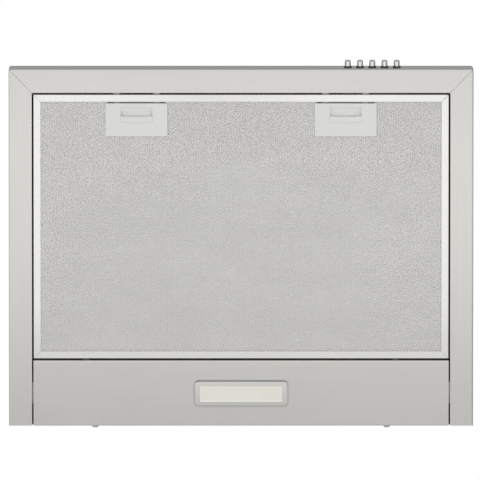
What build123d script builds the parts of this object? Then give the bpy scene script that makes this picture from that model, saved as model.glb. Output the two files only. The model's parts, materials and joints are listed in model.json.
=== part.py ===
from build123d import *
import os
from math import asin, cos, hypot, pi, radians, sin, sqrt, tan

os.makedirs("parts", exist_ok=True)

# Wall mounted chimney range hood, in millimetres.
# X points right as seen from the kitchen, Y points to the wall and Z points up.
# The wall is the plane Y = 0 and heights are measured here from the rim.
# Every piece is lowered on export, so that the origin is midway between the hanging slots.

# Canopy
hood_width = 600.0
hood_depth = 463.0
wall_gap = 4.0
strip_height = 48.0
canopy_height = 240.0
rim_band = 30.0
front_band = 31.1
sheet = 0.8
corner_radius = 3.0
fold_radius = 1.2
front_return = 5.4
side_return = 12.0
seam = 0.3
top_flange = 12.0
rear_flange = 12.0
seat_gap = 0.1
deck_sheet = 1.2

# Chimney
chimney_width = 240.0
chimney_depth = 230.0
chimney_ledge = 3.0
chimney_wall_gap = 1.0
lower_cover_length = 420.0
upper_cover_top = 24.0
cover_clearance = 0.6
cover_return = 12.0
cover_corner = 1.6
lug_width = 22.0
lug_screw_height = 9.0
vent_count = 7
vent_length = 46.0
vent_width = 3.4
vent_pitch = 9.0
flue_sheet = 1.5
flue_half_height = 7.0
flue_leg = 58.0
flue_screw_y = -40.0
flue_slot_spacing = 160.0
flue_slot_length = 16.0
flue_slot_width = 6.0

# Back plate
hang_drop = 35.0
hang_spacing = 180.0
hang_slot_length = 20.0
hang_slot_width = 8.0
pad_margin = 14.0
lower_hole_height = 72.0
lower_hole_spacing = 360.0
lower_hole_radius = 3.25
lower_pad_radius = 13.0

# Lamp panel and lamp
panel_gap = 1.7
panel_height = 18.0
panel_end_height = 12.0
panel_fold_radius = 2.8
bezel_length = 118.4
bezel_width = 30.4
bezel_corner = 4.5
bezel_drop = 3.0
bezel_edge = 0.5
bezel_land = 0.5
bezel_gap = 2.5
bezel_flange = 1.0
bezel_flange_length = 155.0
bezel_flange_width = 43.0
lens_offset = 0.9
lens_face_length = 107.2
lens_face_width = 21.4
lens_face_corner = 0.6
lens_proud = 0.2
lens_wall = 1.8
lens_clearance = 0.2
lamp_hole_length = 112.5
lamp_hole_width = 25.0
lamp_housing_height = 24.0
lamp_wall = 1.5
led_count = 8
led_size = 3.5

# Grease filter
filter_gap = 1.9
filter_side_gap = 1.75
filter_rear_gap = 1.8
filter_depth = 342.8
filter_height = 9.2
filter_recess = 1.2
profile_width = 9.3
profile_wall = 1.0
mesh_sheet = 0.6
core_sheets = 4
core_sheet = 0.9
tab_width = 4.0
tab_thickness = 1.2
tab_length = 4.2
tab_spacing = 400.0
pivot_height = 3.9

# Latches
latch_spacing = 270.0
latch_width = 80.0
latch_length = 42.6
latch_front_gap = 2.2
latch_plate = 1.2
latch_proud = 0.2
pocket_width = 41.2
pocket_length = 12.0
pocket_offset = 4.6
pocket_depth = 5.8
pocket_wall = 1.0
pocket_sag = 1.0
lip_length = 7.5
lip_drop = 0.5
tongue_spacing = 52.0
tongue_width = 8.0
tongue_thickness = 2.1
tongue_height = 5.8
tongue_clearance = 0.3
latch_spring_radius = 2.4

# Buttons and switch
button_count = 5
button_pitch = 15.8
button_centre_x = 169.5
button_height = 24.0
button_radius = 3.9
button_reach = 9.9
button_travel = 3.0
button_tip = 2.4
collar_radius = 5.2
collar_reach = 1.8
collar_neck = 4.6
bore_clearance = 0.3
stem_radius = 2.4
switch_depth = 26.0
switch_height = 22.0
bracket_wall = 1.0

# Blower
fan_depth = 145.0
fan_drop = 75.0
fan_radius = 75.0
blade_root = 62.0
blade_count = 36
blade_thickness = 1.1
blade_angle = 28.0
fan_half = 46.0
scroll_start = 85.0
scroll_step = 9.0
scroll_half = 55.5
plastic = 2.5
inlet_radius = 58.0
outlet_top = 103.0
outlet_flange = 8.0
foot_length = 18.0
foot_width = 20.0
foot_thickness = 3.0
foot_spacing = 110.0
foot_offset = 28.0
motor_radius = 41.0
motor_start = 9.0
shaft_radius = 4.0
shaft_clearance = 0.05
motor_bracket_gap = 3.0
motor_bracket_sheet = 1.6
mount_circle = 64.0
grommet_radius = 4.5
grille_radius = 73.5
grille_reach = 24.0
grille_bar = 2.2

# Capacitor and terminal box
capacitor_radius = 15.0
capacitor_height = 52.0
capacitor_gap = 9.0
clip_height = 14.0
clip_wall = 1.6
box_gap = 2.0
box_cover_gap = 5.0
box_length = 74.0
box_rear_gap = 38.0
box_height = 34.0
box_wall = 2.0
box_corner = 3.0
gland_bore = 4.0
gland_thread = 8.0
gland_below = 6.0
gland_above = 18.0

# Outlet collar and flaps
collar_outer = 59.5
collar_wall = 2.0
collar_length = 45.0
collar_base = 2.8
flap_sheet = 1.2
flap_gap = 1.2
pin_radius = 1.5
pin_clearance = 0.08
knuckle_radius = 3.2
knuckle_length = 18.0

# Fasteners
screw_radius = 1.9
screw_clearance = 0.3
thread_clearance = 0.05
stud_radius = 2.0
stud_length = 5.5
head_radius = 3.6
head_height = 2.2
pan_head_radius = 4.5
pan_head_height = 3.0
pan_screw_spacing = 376.8
pan_screw_height = 8.0

# Leads
lead_radius = 2.2
motor_lead_radius = 1.8
lead_hole_radius = 4.2
lead_turn_length = 35.0

# Places worked out from the sizes above
hang_height = canopy_height - hang_drop
half_width = hood_width / 2
rear_y = -wall_gap
front_y = rear_y - hood_depth
top_half = chimney_width / 2 + chimney_ledge
top_front = -chimney_depth - chimney_ledge
rise = canopy_height - strip_height
side_run = half_width - top_half
front_run = top_front - front_y
side_inset = sheet * hypot(side_run, rise) / rise
front_inset = sheet * hypot(front_run, rise) / rise
side_bend = strip_height - (side_inset - sheet) * rise / side_run
opening_half = half_width - rim_band
opening_front = front_y + front_band
filter_half = opening_half - filter_side_gap
filter_front = opening_front + filter_gap
filter_rear = filter_front + filter_depth
filter_top = filter_recess + filter_height
panel_front = filter_rear + filter_rear_gap
panel_half = opening_half - panel_gap
lens_y = (panel_front + rear_y) / 2 + lens_offset
lamp_seat = sheet + bezel_flange + 2 * seat_gap
plate_rear = rear_y - sheet - seat_gap
plate_front = plate_rear - sheet
deck_top = canopy_height + deck_sheet
deck_half = top_half - 0.5
deck_front = top_front + 0.5
fan_y = -fan_depth
fan_height = canopy_height - fan_drop
scroll_outer_half = scroll_half + plastic
outlet_rear = fan_y + 2 * scroll_step + scroll_start + scroll_step
outlet_y = (fan_y + outlet_rear) / 2
outlet_z = fan_height + outlet_top
lower_top = deck_top + lower_cover_length
upper_half = chimney_width / 2 - sheet - cover_clearance
upper_front = -chimney_depth + sheet + cover_clearance
upper_rear = -chimney_wall_gap - sheet - cover_clearance
upper_bottom = deck_top + 21.0
upper_top = lower_top + upper_cover_top
latch_front = filter_front + profile_width + latch_front_gap
latch_bottom = filter_recess - latch_proud
latch_top = latch_bottom + latch_plate
button_xs = [button_centre_x + button_pitch * (i - (button_count - 1) / 2) for i in range(button_count)]


def block(x0, x1, y0, y1, z0, z1):
    """A box from its six sides."""
    return Pos((x0 + x1) / 2, (y0 + y1) / 2, (z0 + z1) / 2) * Box(x1 - x0, y1 - y0, z1 - z0)


def rod_x(y, z, radius, x0, x1):
    """A round bar along X."""
    return Pos((x0 + x1) / 2, y, z) * Rot(0, 90, 0) * Cylinder(radius, x1 - x0)


def rod_y(x, z, radius, y0, y1):
    """A round bar along Y."""
    return Pos(x, (y0 + y1) / 2, z) * Rot(90, 0, 0) * Cylinder(radius, y1 - y0)


def rod_z(x, y, radius, z0, z1):
    """A round bar along Z."""
    return Pos(x, y, (z0 + z1) / 2) * Cylinder(radius, z1 - z0)


def outline_x(points, x0, x1):
    """An outline of Y and Z points, drawn out along X."""
    face = Plane.YZ * make_face(Polyline(*points, close=True))
    return extrude(Pos(x0, 0, 0) * face, amount=x1 - x0, dir=(1, 0, 0))


def outline_y(points, y0, y1):
    """An outline of X and Z points, drawn out along Y."""
    face = Plane.XZ * make_face(Polyline(*points, close=True))
    return extrude(Pos(0, y0, 0) * face, amount=y1 - y0, dir=(0, 1, 0))


def outline_z(points, z0, z1):
    """An outline of X and Y points, drawn out along Z."""
    face = make_face(Polyline(*points, close=True))
    return extrude(Pos(0, 0, z0) * face, amount=z1 - z0, dir=(0, 0, 1))


def mirrored(shape):
    """The same shape on the other side of the middle plane."""
    return mirror(shape, about=Plane.YZ)


def both_sides(shape):
    """A shape and its mirror image."""
    return shape + mirrored(shape)


def round_edges(shape, edges, radius):
    """Round the given edges."""
    return fillet(ShapeList(edges), radius)


def bottom_edges(shape, axis, z, low=-1e6, high=1e6):
    """Straight edges along one axis at a height, with their middles between two limits across it."""
    across = "Y" if axis == Axis.X else "X"
    found = shape.edges().filter_by(axis)
    at_height = [e for e in found if abs(e.center().Z - z) < 0.01]
    return [e for e in at_height if low < getattr(e.center(), across) < high]


def screw(point, direction, length, radius=head_radius, height=head_height, shank=screw_radius):
    """A round headed screw with a cross recess: the head stands out along the direction."""
    head = Pos(0, 0, height / 2) * Cylinder(radius, height)
    head = fillet(head.edges().filter_by_position(Axis.Z, height - 0.01, height + 0.01), 0.7 * height)
    arm = 0.55 * radius
    cut = Box(2 * arm, 0.28 * radius, height) + Box(0.28 * radius, 2 * arm, height)
    head = head - Pos(0, 0, height) * cut
    body = head + Pos(0, 0, -length / 2) * Cylinder(shank, length)
    return Plane(origin=point, z_dir=direction) * body


def save(name, *shapes):
    """Write one node, lowered so that the hanging slots are at height 0."""
    solids = [s for shape in shapes for s in shape.solids()]
    moved = [Pos(0, 0, -hang_height) * s for s in solids]
    export_step(moved[0] if len(moved) == 1 else Compound(children=moved), f"parts/{name}.step")


# Canopy panels: a shell of strip, slopes, rim bands and top flange, cut at the mitres

def plan_face(half, front, rear, radius, z):
    """A rectangle in plan with round front corners."""
    face = Pos(0, (front + rear) / 2, z) * Rectangle(2 * half, rear - front)
    return fillet(face.vertices().group_by(Axis.Y)[0], radius).face()


def slope_half(z):
    """Half the outer width of the canopy at a height on its slopes."""
    return top_half + side_run * (canopy_height - z) / rise


def slope_front(z):
    """The outer front face of the canopy at a height on its slope."""
    return top_front - front_run * (canopy_height - z) / rise


def canopy_solid(inset, side_shift, front_shift, rear, radius, bottom, bend, top):
    """The canopy's filled shape, drawn in from the outer faces."""
    low_face = plan_face(half_width - inset, front_y + inset, rear, radius, bottom)
    low = extrude(low_face, amount=bend - bottom, dir=(0, 0, 1))
    start = plan_face(half_width - inset, front_y + inset, rear, radius, bend)
    end = plan_face(slope_half(top) - side_shift, slope_front(top) + front_shift, rear, radius, top)
    return low + loft([start, end], ruled=True)


def canopy_shell():
    """The three panels as one shell, before it is cut at the mitres."""
    outer = canopy_solid(0, 0, 0, rear_y, corner_radius, 0, strip_height, canopy_height)
    rim = [e for e in outer.edges() if abs(e.center().Z) < 0.01 and e.center().Y < rear_y - 0.5]
    outer = round_edges(outer, rim, fold_radius)
    inner = canopy_solid(
        sheet, side_inset, front_inset, rear_y + 1, corner_radius - sheet,
        sheet, side_bend, canopy_height - sheet,
    )
    shell = outer - inner
    shell -= block(-opening_half, opening_half, opening_front, rear_y + 1, -1, 2 * sheet)
    hatch = top_half - top_flange
    shell -= block(-hatch, hatch, top_front + top_flange, rear_y + 1, strip_height, canopy_height + 1)
    shell += block(-opening_half, opening_half, opening_front - sheet, opening_front, 0, front_return)
    shell += both_sides(block(
        opening_half, opening_half + sheet, opening_front - sheet, plate_front - 2 * sheet, 0, side_return
    ))
    fold = bottom_edges(shell, Axis.X, 0, opening_front - 0.1, opening_front + 0.1)
    fold += bottom_edges(shell, Axis.Y, 0, opening_half - 0.1, opening_half + 0.1)
    fold += bottom_edges(shell, Axis.Y, 0, -opening_half - 0.1, -opening_half + 0.1)
    return round_edges(shell, fold, sheet)


def rear_flanges():
    """Inward flanges at the rear edges of the side slopes, which carry the back plate."""
    low, high = panel_height + 6, canopy_height - 4
    y1 = plate_front - seat_gap
    edge = half_width - sheet
    limits = [(low, edge), (side_bend, edge), (high, slope_half(high) - side_inset)]
    right = [(x, z) for z, x in limits]
    left = [(x - rear_flange, z) for z, x in reversed(limits)]
    return both_sides(outline_y(right + left, y1 - sheet, y1))


def wedge(points, z0, z1):
    """A cutting prism between two heights."""
    return outline_z(points, z0, z1)


def canopy_panels():
    """Front, left and right panels, cut from the shell along the mitres with a hairline seam."""
    shell = canopy_shell() + rear_flanges()
    mitre_top = side_return + 0.6
    reach, far = 60.0, 9.0
    c, s = seam * 0.7071, seam / 2
    mitre_near = front_y - far * front_band / rim_band
    mitre_deep = front_y + reach * front_band / rim_band
    band_front = [
        (-half_width - far, mitre_near - c), (half_width + far, mitre_near - c),
        (half_width - reach, mitre_deep - c), (-half_width + reach, mitre_deep - c),
    ]
    band_side = [
        (half_width + far, mitre_near + c), (half_width + far, rear_y + 1),
        (half_width - reach, rear_y + 1), (half_width - reach, mitre_deep + c),
    ]
    out_x, out_y = half_width + 0.1 * side_run, front_y - 0.1 * front_run
    in_x, in_y = top_half - 0.1 * side_run, top_front + 0.1 * front_run
    hip_front = [(-out_x, out_y - s), (out_x, out_y - s), (in_x, in_y - s), (-in_x, in_y - s)]
    hip_side = [(out_x, out_y + s), (out_x, rear_y + 1), (in_x, rear_y + 1), (in_x, in_y + s)]
    front = shell & wedge(band_front, -1, mitre_top)
    front += shell & wedge(hip_front, mitre_top, canopy_height + 1)
    right = shell & wedge(band_side, -1, mitre_top)
    right += shell & wedge(hip_side, mitre_top, canopy_height + 1)
    for x in button_xs:
        front -= rod_y(x, button_height, collar_neck + bore_clearance / 2, front_y - 1, front_y + 2)
    for x in bracket_stud_xs():
        front += rod_y(x, button_height, stud_radius, front_y + sheet / 2, front_y + sheet + stud_length)
    for x, y in deck_screw_places():
        hole = rod_z(x, y, screw_radius + screw_clearance, canopy_height - 5, canopy_height + 1)
        front -= hole
        right -= hole
    return front, right


def deck_screw_places():
    """Screws that hold the deck on the panels' top flange."""
    inset = sheet + head_radius + bore_clearance
    x = chimney_width / 2 - inset - 0.8
    y = -chimney_depth + inset + 0.3
    sides = [(x, y + 36), (x, -22.0), (-x, y + 36), (-x, -22.0)]
    return sides + [(-60.0, y), (60.0, y)]


def corner_brackets():
    """Two angles inside the strip's front corners."""
    leg, height, wall = 28.0, 30.0, 1.2
    x = half_width - sheet - seat_gap
    y = front_y + sheet + seat_gap
    z0 = side_return + 2
    angle = block(x - leg, x, y, y + leg, z0, z0 + height)
    angle -= block(x - leg - 1, x - wall, y + wall, y + leg + 1, z0 - 1, z0 + height + 1)
    corner = [e for e in angle.edges().filter_by(Axis.Z) if e.center().X > x - 0.1 and e.center().Y < y + 0.1]
    return both_sides(round_edges(angle, corner, corner_radius))


def back_plate():
    """Flat rear plate with a raised hanging pad and two raised lower pads that touch the wall."""
    clear = 0.4
    low, high = sheet + 1.6, canopy_height - sheet - seat_gap
    half = half_width - sheet - clear
    top = slope_half(high) - side_inset - clear
    points = [(-half, low), (half, low), (half, side_bend), (top, high), (-top, high), (-half, side_bend)]
    plate = outline_y(points, plate_front, plate_rear)
    pad_half = hang_spacing / 2 + hang_slot_length / 2 + pad_margin
    pad_rise = hang_slot_width / 2 + pad_margin

    flat = block(-pad_half, pad_half, plate_front, 0, hang_height - pad_rise, hang_height + pad_rise)
    flat = round_edges(flat, flat.edges().filter_by(Axis.Y), 6)
    hollow = block(
        -pad_half + sheet, pad_half - sheet, plate_front - 1, -sheet,
        hang_height - pad_rise + sheet, hang_height + pad_rise - sheet,
    )
    hollow = round_edges(hollow, hollow.edges().filter_by(Axis.Y), 6 - sheet)
    plate = plate + flat - hollow
    for x in (-hang_spacing / 2, hang_spacing / 2):
        slot = block(
            x - hang_slot_length / 2 + hang_slot_width / 2, x + hang_slot_length / 2 - hang_slot_width / 2,
            -2, 1, hang_height - hang_slot_width / 2, hang_height + hang_slot_width / 2,
        )
        for end in (-1, 1):
            reach = end * (hang_slot_length - hang_slot_width) / 2
            slot += rod_y(x + reach, hang_height, hang_slot_width / 2, -2, 1)
        plate -= slot
    for x in (-lower_hole_spacing / 2, lower_hole_spacing / 2):
        plate += rod_y(x, lower_hole_height, lower_pad_radius, plate_front, 0)
        plate -= rod_y(x, lower_hole_height, lower_pad_radius - sheet, plate_front - 1, -sheet)
        plate -= rod_y(x, lower_hole_height, lower_hole_radius, -2, 1)
    for x in (-pan_screw_spacing / 2, pan_screw_spacing / 2):
        plate -= rod_y(x, pan_screw_height, screw_radius + screw_clearance, plate_front - 1, plate_rear + 1)
    return plate


def deck():
    """Top plate of the canopy: the blower hangs from it and the chimney stands on it."""
    rear = plate_front - 2 * sheet - seat_gap
    plate = block(-deck_half, deck_half, deck_front, rear, canopy_height, deck_top)
    front = fan_y - sqrt((scroll_start + plastic) ** 2 - (canopy_height - fan_height) ** 2) - 4
    plate -= block(
        -scroll_outer_half - 3, scroll_outer_half + 3, front, outlet_rear + plastic + 3,
        canopy_height - 1, deck_top + 1,
    )
    for x, y in deck_screw_places() + foot_places():
        plate -= rod_z(x, y, screw_radius + screw_clearance, canopy_height - 1, deck_top + 1)
    for x, y, radius in lead_holes():
        plate -= rod_z(x, y, radius, canopy_height - 1, deck_top + 1)
    lug_x = chimney_width / 2 - sheet - seat_gap
    lug_height = upper_bottom - bore_clearance - deck_top
    y, z = cover_screw_place()
    half = lug_width / 2
    lug = block(lug_x - deck_sheet, lug_x, y - half, y + half, deck_top, deck_top + lug_height)
    lug -= rod_x(y, z, screw_radius, lug_x - 3, lug_x + 3)
    return plate + both_sides(lug)


def lead_holes():
    """Where the three leads pass through the deck, with their radii."""
    switch_hole = (box_middle, box_y0 - lead_turn_length, 2 * lead_hole_radius)
    motor_hole = (box_x0 + lead_hole_radius, box_y0 + 0.3 * box_length, lead_hole_radius)
    lamp_hole = (box_x1 - 2.4 * lead_hole_radius, box_y1 - 0.33 * box_length, lead_hole_radius)
    return [switch_hole, motor_hole, lamp_hole]


def lead_entry_height():
    """Height at which the switch lead enters the terminal box."""
    return deck_top + seat_gap + 0.44 * box_height


def foot_places():
    """Screws through the blower's four feet."""
    x = scroll_outer_half + foot_length - foot_width / 2 + 2
    middle = fan_y + foot_offset
    ys = (middle - foot_spacing / 2, middle + foot_spacing / 2)
    return [(side * x, y) for side in (1, -1) for y in ys]


# Lamp panel and lamp

def lamp_panel():
    """Rear tray with a round front fold, a slotted front wall, a rear flange and the lamp hole."""
    tray = block(-panel_half, panel_half, panel_front, rear_y, 0, panel_height)
    tray = round_edges(tray, bottom_edges(tray, Axis.X, 0, high=lens_y), panel_fold_radius)
    tray = round_edges(tray, bottom_edges(tray, Axis.X, 0, low=lens_y), fold_radius)
    hollow = block(
        -panel_half + sheet, panel_half - sheet, panel_front + sheet, rear_y - sheet, sheet, panel_height + 1
    )
    hollow = round_edges(hollow, bottom_edges(hollow, Axis.X, sheet, high=lens_y), panel_fold_radius - sheet)
    tray -= hollow
    for side in (-1, 1):
        x = side * panel_half
        tray -= block(
            min(x, x - side * sheet) - 0.1, max(x, x - side * sheet) + 0.1,
            panel_front + 4, rear_y - 4, panel_end_height, panel_height + 1,
        )
        tray -= block(
            min(x, x - side * sheet) - 0.1, max(x, x - side * sheet) + 0.1,
            plate_front - bore_clearance, rear_y - sheet, 2 * sheet, panel_height + 1,
        )
    room = 2 * bezel_gap
    hole = lens_outline(bezel_length + room, bezel_width + room, bezel_corner + bezel_gap, -1)
    tray -= extrude(hole, amount=3, dir=(0, 0, 1))
    for x in (-tab_spacing / 2, tab_spacing / 2):
        tray -= block(
            x - tab_width / 2 - 1.5, x + tab_width / 2 + 1.5, panel_front - 1, panel_front + sheet + 1,
            pivot_height - 1.0, pivot_height + 4.0,
        )
    for x in (-pan_screw_spacing / 2, pan_screw_spacing / 2):
        tray -= rod_y(x, pan_screw_height, screw_radius + screw_clearance, rear_y - 2, rear_y + 1)
    for x, y in lamp_screw_places():
        tray -= rod_z(x, y, screw_radius, -1, 2)
    return tray


def lamp_screw_places():
    """Two screws beside the lamp, from above."""
    x = bezel_length / 2 + 11
    return [(-x, lens_y), (x, lens_y)]


def panel_clips():
    """Spring clips that tie the lamp panel's ends to the side bands' returns."""
    wall, drop = 0.8, 7.0
    top = max(side_return, panel_end_height) + seat_gap
    outer = opening_half + sheet + seat_gap
    inner = panel_half - sheet - seat_gap
    y0, y1 = lens_y - 14, lens_y + 14
    clip = block(inner - wall, outer + wall, y0, y1, top, top + wall)
    clip += block(outer, outer + wall, y0, y1, top - drop, top)
    clip += block(inner - wall, inner, y0, y1, top - drop, top)
    return both_sides(clip)


def lens_outline(length, width, radius, z):
    """A rounded rectangle centred on the lamp."""
    return (Pos(0, lens_y, z) * RectangleRounded(length, width, radius)).face()


def lamp_bezel():
    """Ring round the lamp: bevelled sides, a body through the panel and a flange above it."""
    top = sheet + seat_gap
    ring = extrude(
        lens_outline(bezel_length, bezel_width, bezel_corner, -bezel_edge),
        amount=bezel_edge + top + bezel_flange, dir=(0, 0, 1),
    )
    ring += extrude(
        lens_outline(bezel_flange_length, bezel_flange_width, bezel_corner, top),
        amount=bezel_flange, dir=(0, 0, 1),
    )
    land = 2 * (bezel_land + lens_clearance)
    ring += loft([
        lens_outline(bezel_length, bezel_width, bezel_corner, -bezel_edge),
        lens_outline(
            lens_face_length + land, lens_face_width + land, lens_face_corner + bezel_land, -bezel_drop
        ),
    ], ruled=True)
    ring -= extrude(
        lens_outline(lamp_hole_length, lamp_hole_width, 2.0, lens_ledge()), amount=12, dir=(0, 0, 1)
    )
    gap = 2 * lens_clearance
    ring -= extrude(
        lens_outline(lens_face_length + gap, lens_face_width + gap, lens_face_corner + lens_clearance, -6),
        amount=12, dir=(0, 0, 1),
    )
    for x, y in lamp_screw_places():
        ring -= rod_z(x, y, screw_radius + screw_clearance, top - 1, top + bezel_flange + 1)
    return ring


def lens_ledge():
    """Height of the ledge inside the bezel, on which the lens lies."""
    return -bezel_drop + 1.6


def lamp_lens():
    """Translucent cover: a shallow tray with a flange that lies on the bezel's ledge."""
    z0 = lens_ledge() + seat_gap
    face = -bezel_drop - lens_proud
    tray = extrude(
        lens_outline(lens_face_length, lens_face_width, lens_face_corner, face),
        amount=z0 - face + 0.5, dir=(0, 0, 1),
    )
    gap = 3 * lens_clearance
    tray += extrude(
        lens_outline(lamp_hole_length - gap, lamp_hole_width - gap, 1.8, z0), amount=1.0, dir=(0, 0, 1)
    )
    length, width = lens_face_length - 2 * lens_wall, lens_face_width - 2 * lens_wall
    return tray - extrude(lens_outline(length, width, 0.5, face + lens_wall), amount=6, dir=(0, 0, 1))


def lamp_housing():
    """Box over the lamp hole, open downwards, with two screwed ears."""
    inner_l, inner_w = lamp_hole_length + 1.0, lamp_hole_width + 1.0
    z0 = lamp_seat
    outer_l, outer_w = inner_l + 2 * lamp_wall, inner_w + 2 * lamp_wall
    top = z0 + lamp_housing_height
    box = block(-outer_l / 2, outer_l / 2, lens_y - outer_w / 2, lens_y + outer_w / 2, z0, top)
    box = round_edges(box, box.edges().filter_by(Axis.Z), 3)
    box -= block(
        -inner_l / 2, inner_l / 2, lens_y - inner_w / 2, lens_y + inner_w / 2,
        z0 - 1, top - lamp_wall,
    )
    for x, y in lamp_screw_places():
        side = 1 if x > 0 else -1
        wall = side * (inner_l / 2 + 0.5)
        ear = block(min(wall, x), max(wall, x), y - 7, y + 7, z0, z0 + 2)
        ear += rod_z(x, y, 7, z0, z0 + 2)
        box += ear
        box -= rod_z(x, y, screw_radius + screw_clearance, z0 - 1, z0 + 3)
    box -= rod_x(lens_y, top - 8, lead_radius + 0.3, inner_l / 2 - 1, outer_l / 2 + 1)
    return box


def led_board():
    """Printed board with two rows of light chips, on four pegs under the roof of the lamp housing."""
    roof = lamp_seat + lamp_housing_height - lamp_wall
    length, width = lamp_hole_length - 2, lamp_hole_width - 3
    z1 = roof - 3
    board = block(-length / 2, length / 2, lens_y - width / 2, lens_y + width / 2, z1 - 1.6, z1)
    for x in (-length / 2 + 5, length / 2 - 5):
        for y in (lens_y - width / 2 + 4, lens_y + width / 2 - 4):
            board += rod_z(x, y, 1.6, z1, roof - seat_gap)
    pitch = (lamp_hole_length - 20) / (led_count - 1)
    half = led_size / 2
    for i in range(led_count):
        x = pitch * (i - (led_count - 1) / 2)
        for y in (lens_y - 5, lens_y + 5):
            board += block(x - half, x + half, y - half, y + half, z1 - 2.6, z1 - 1.6)
    return board


# Grease filter

def profile_frame():
    """The filter's frame of C section bars, cut at the four mitres."""
    z0, z1 = filter_recess, filter_top
    frame = block(-filter_half, filter_half, filter_front, filter_rear, z0, z1)
    outside = [e for e in frame.edges() if e.geom_type == GeomType.LINE and abs(e.center().Z - z0) < 0.01]
    frame = round_edges(frame, outside, 0.9)
    hole_half = filter_half - profile_width
    frame -= block(
        -hole_half, hole_half, filter_front + profile_width, filter_rear - profile_width, z0 - 1, z1 + 1
    )
    core_half = filter_half - profile_wall
    frame -= block(
        -core_half, core_half, filter_front + profile_wall, filter_rear - profile_wall,
        z0 + profile_wall, z1 - profile_wall,
    )
    frame -= tongue_openings()
    for x in (-filter_half, filter_half):
        for y in (filter_front, filter_rear):
            turn = 45 if (x < 0) == (y < -filter_depth) else -45
            cut = Box(6 * profile_width, seam, filter_height + 2)
            frame -= Pos(x, y, (z0 + z1) / 2) * Rot(0, 0, turn) * cut
    return frame


def tongue_openings():
    """Slots for the latch tongues in the front bar's web."""
    gap = tongue_clearance
    cuts = None
    for centre in latch_centres():
        for side in (-1, 1):
            x = centre + side * tongue_spacing / 2
            cut = block(
                x - tongue_width / 2 - gap, x + tongue_width / 2 + gap,
                filter_front - 1, filter_front + profile_wall + 1,
                tongue_height - gap, tongue_height + tongue_thickness + gap,
            )
            cuts = cut if cuts is None else cuts + cut
    return cuts


def latch_centres():
    """Middles of the two latches."""
    return (-latch_spacing / 2, latch_spacing / 2)


def filter_sheet(z0, thickness):
    """One sheet of the filter, held in the frame's channel and cut out round the latches."""
    half = filter_half - profile_wall - bore_clearance
    y0 = filter_front + profile_wall + bore_clearance
    y1 = filter_rear - profile_wall - bore_clearance
    plate = block(-half, half, y0, y1, z0, z0 + thickness)
    for centre in latch_centres():
        x = latch_width / 2 - 0.75
        plate -= block(
            centre - x, centre + x, y0 - 1, latch_front + latch_length - 3, z0 - 1, z0 + thickness + 1
        )
    return plate


def filter_face():
    """The mesh sheet that shows from below."""
    return filter_sheet(filter_recess + profile_wall + 0.2, mesh_sheet)


def filter_layers():
    """The stacked inner sheets, and the sheet on the blower's side."""
    low = filter_recess + profile_wall + 0.2 + mesh_sheet
    high = filter_top - profile_wall - 0.2 - mesh_sheet
    gap = (high - low - core_sheets * core_sheet) / (core_sheets + 1)
    layers = [filter_sheet(low + gap + i * (core_sheet + gap), core_sheet) for i in range(core_sheets)]
    return layers + [filter_sheet(high, mesh_sheet)]


def filter_tabs():
    """Two tabs at the rear that hook into the lamp panel's slots."""
    tabs = []
    for x in (-tab_spacing / 2, tab_spacing / 2):
        z = pivot_height
        y = filter_rear
        tab = block(
            x - tab_width / 2, x + tab_width / 2, y + seat_gap / 2, y + tab_length,
            z - tab_thickness / 2, z + tab_thickness / 2,
        )
        foot = block(x - tab_width / 2, x + tab_width / 2, y + seat_gap / 2, y + 0.8, z - 0.9, z + 4.6)
        tabs.append(tab + foot)
    return tabs


def latch_base(centre):
    """Hollow plastic guide, set through the filter between its front bar and the mesh."""
    side, wall = latch_width / 2 - 1.2, 1.4
    y0 = filter_front + profile_wall + bore_clearance
    y1 = latch_front + latch_length - 3.4
    z0, z1 = latch_top + bore_clearance, filter_top - profile_wall - 0.2
    body = block(centre - side, centre + side, y0, y1, z0, z1)
    body -= block(centre - side + wall, centre + side - wall, y0 + wall, y1 - wall, z0 - 1, z1 - 0.9)
    for offset in (-tongue_spacing / 2, tongue_spacing / 2):
        x = centre + offset
        half = tongue_width / 2 + tongue_clearance
        body -= block(
            x - half, x + half, y0 - 1, y0 + wall + 1,
            tongue_height - tongue_clearance, tongue_height + tongue_thickness + tongue_clearance,
        )
    return body


def bowed_plan(centre, half, y0, y1, sag):
    """A plan outline with its rear edge bowed to the rear."""
    lines = Polyline((centre - half, y1), (centre - half, y0), (centre + half, y0), (centre + half, y1))
    bow = ThreePointArc((centre + half, y1), (centre, y1 + sag), (centre - half, y1))
    return make_face(Curve() + [lines, bow]).face()


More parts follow.
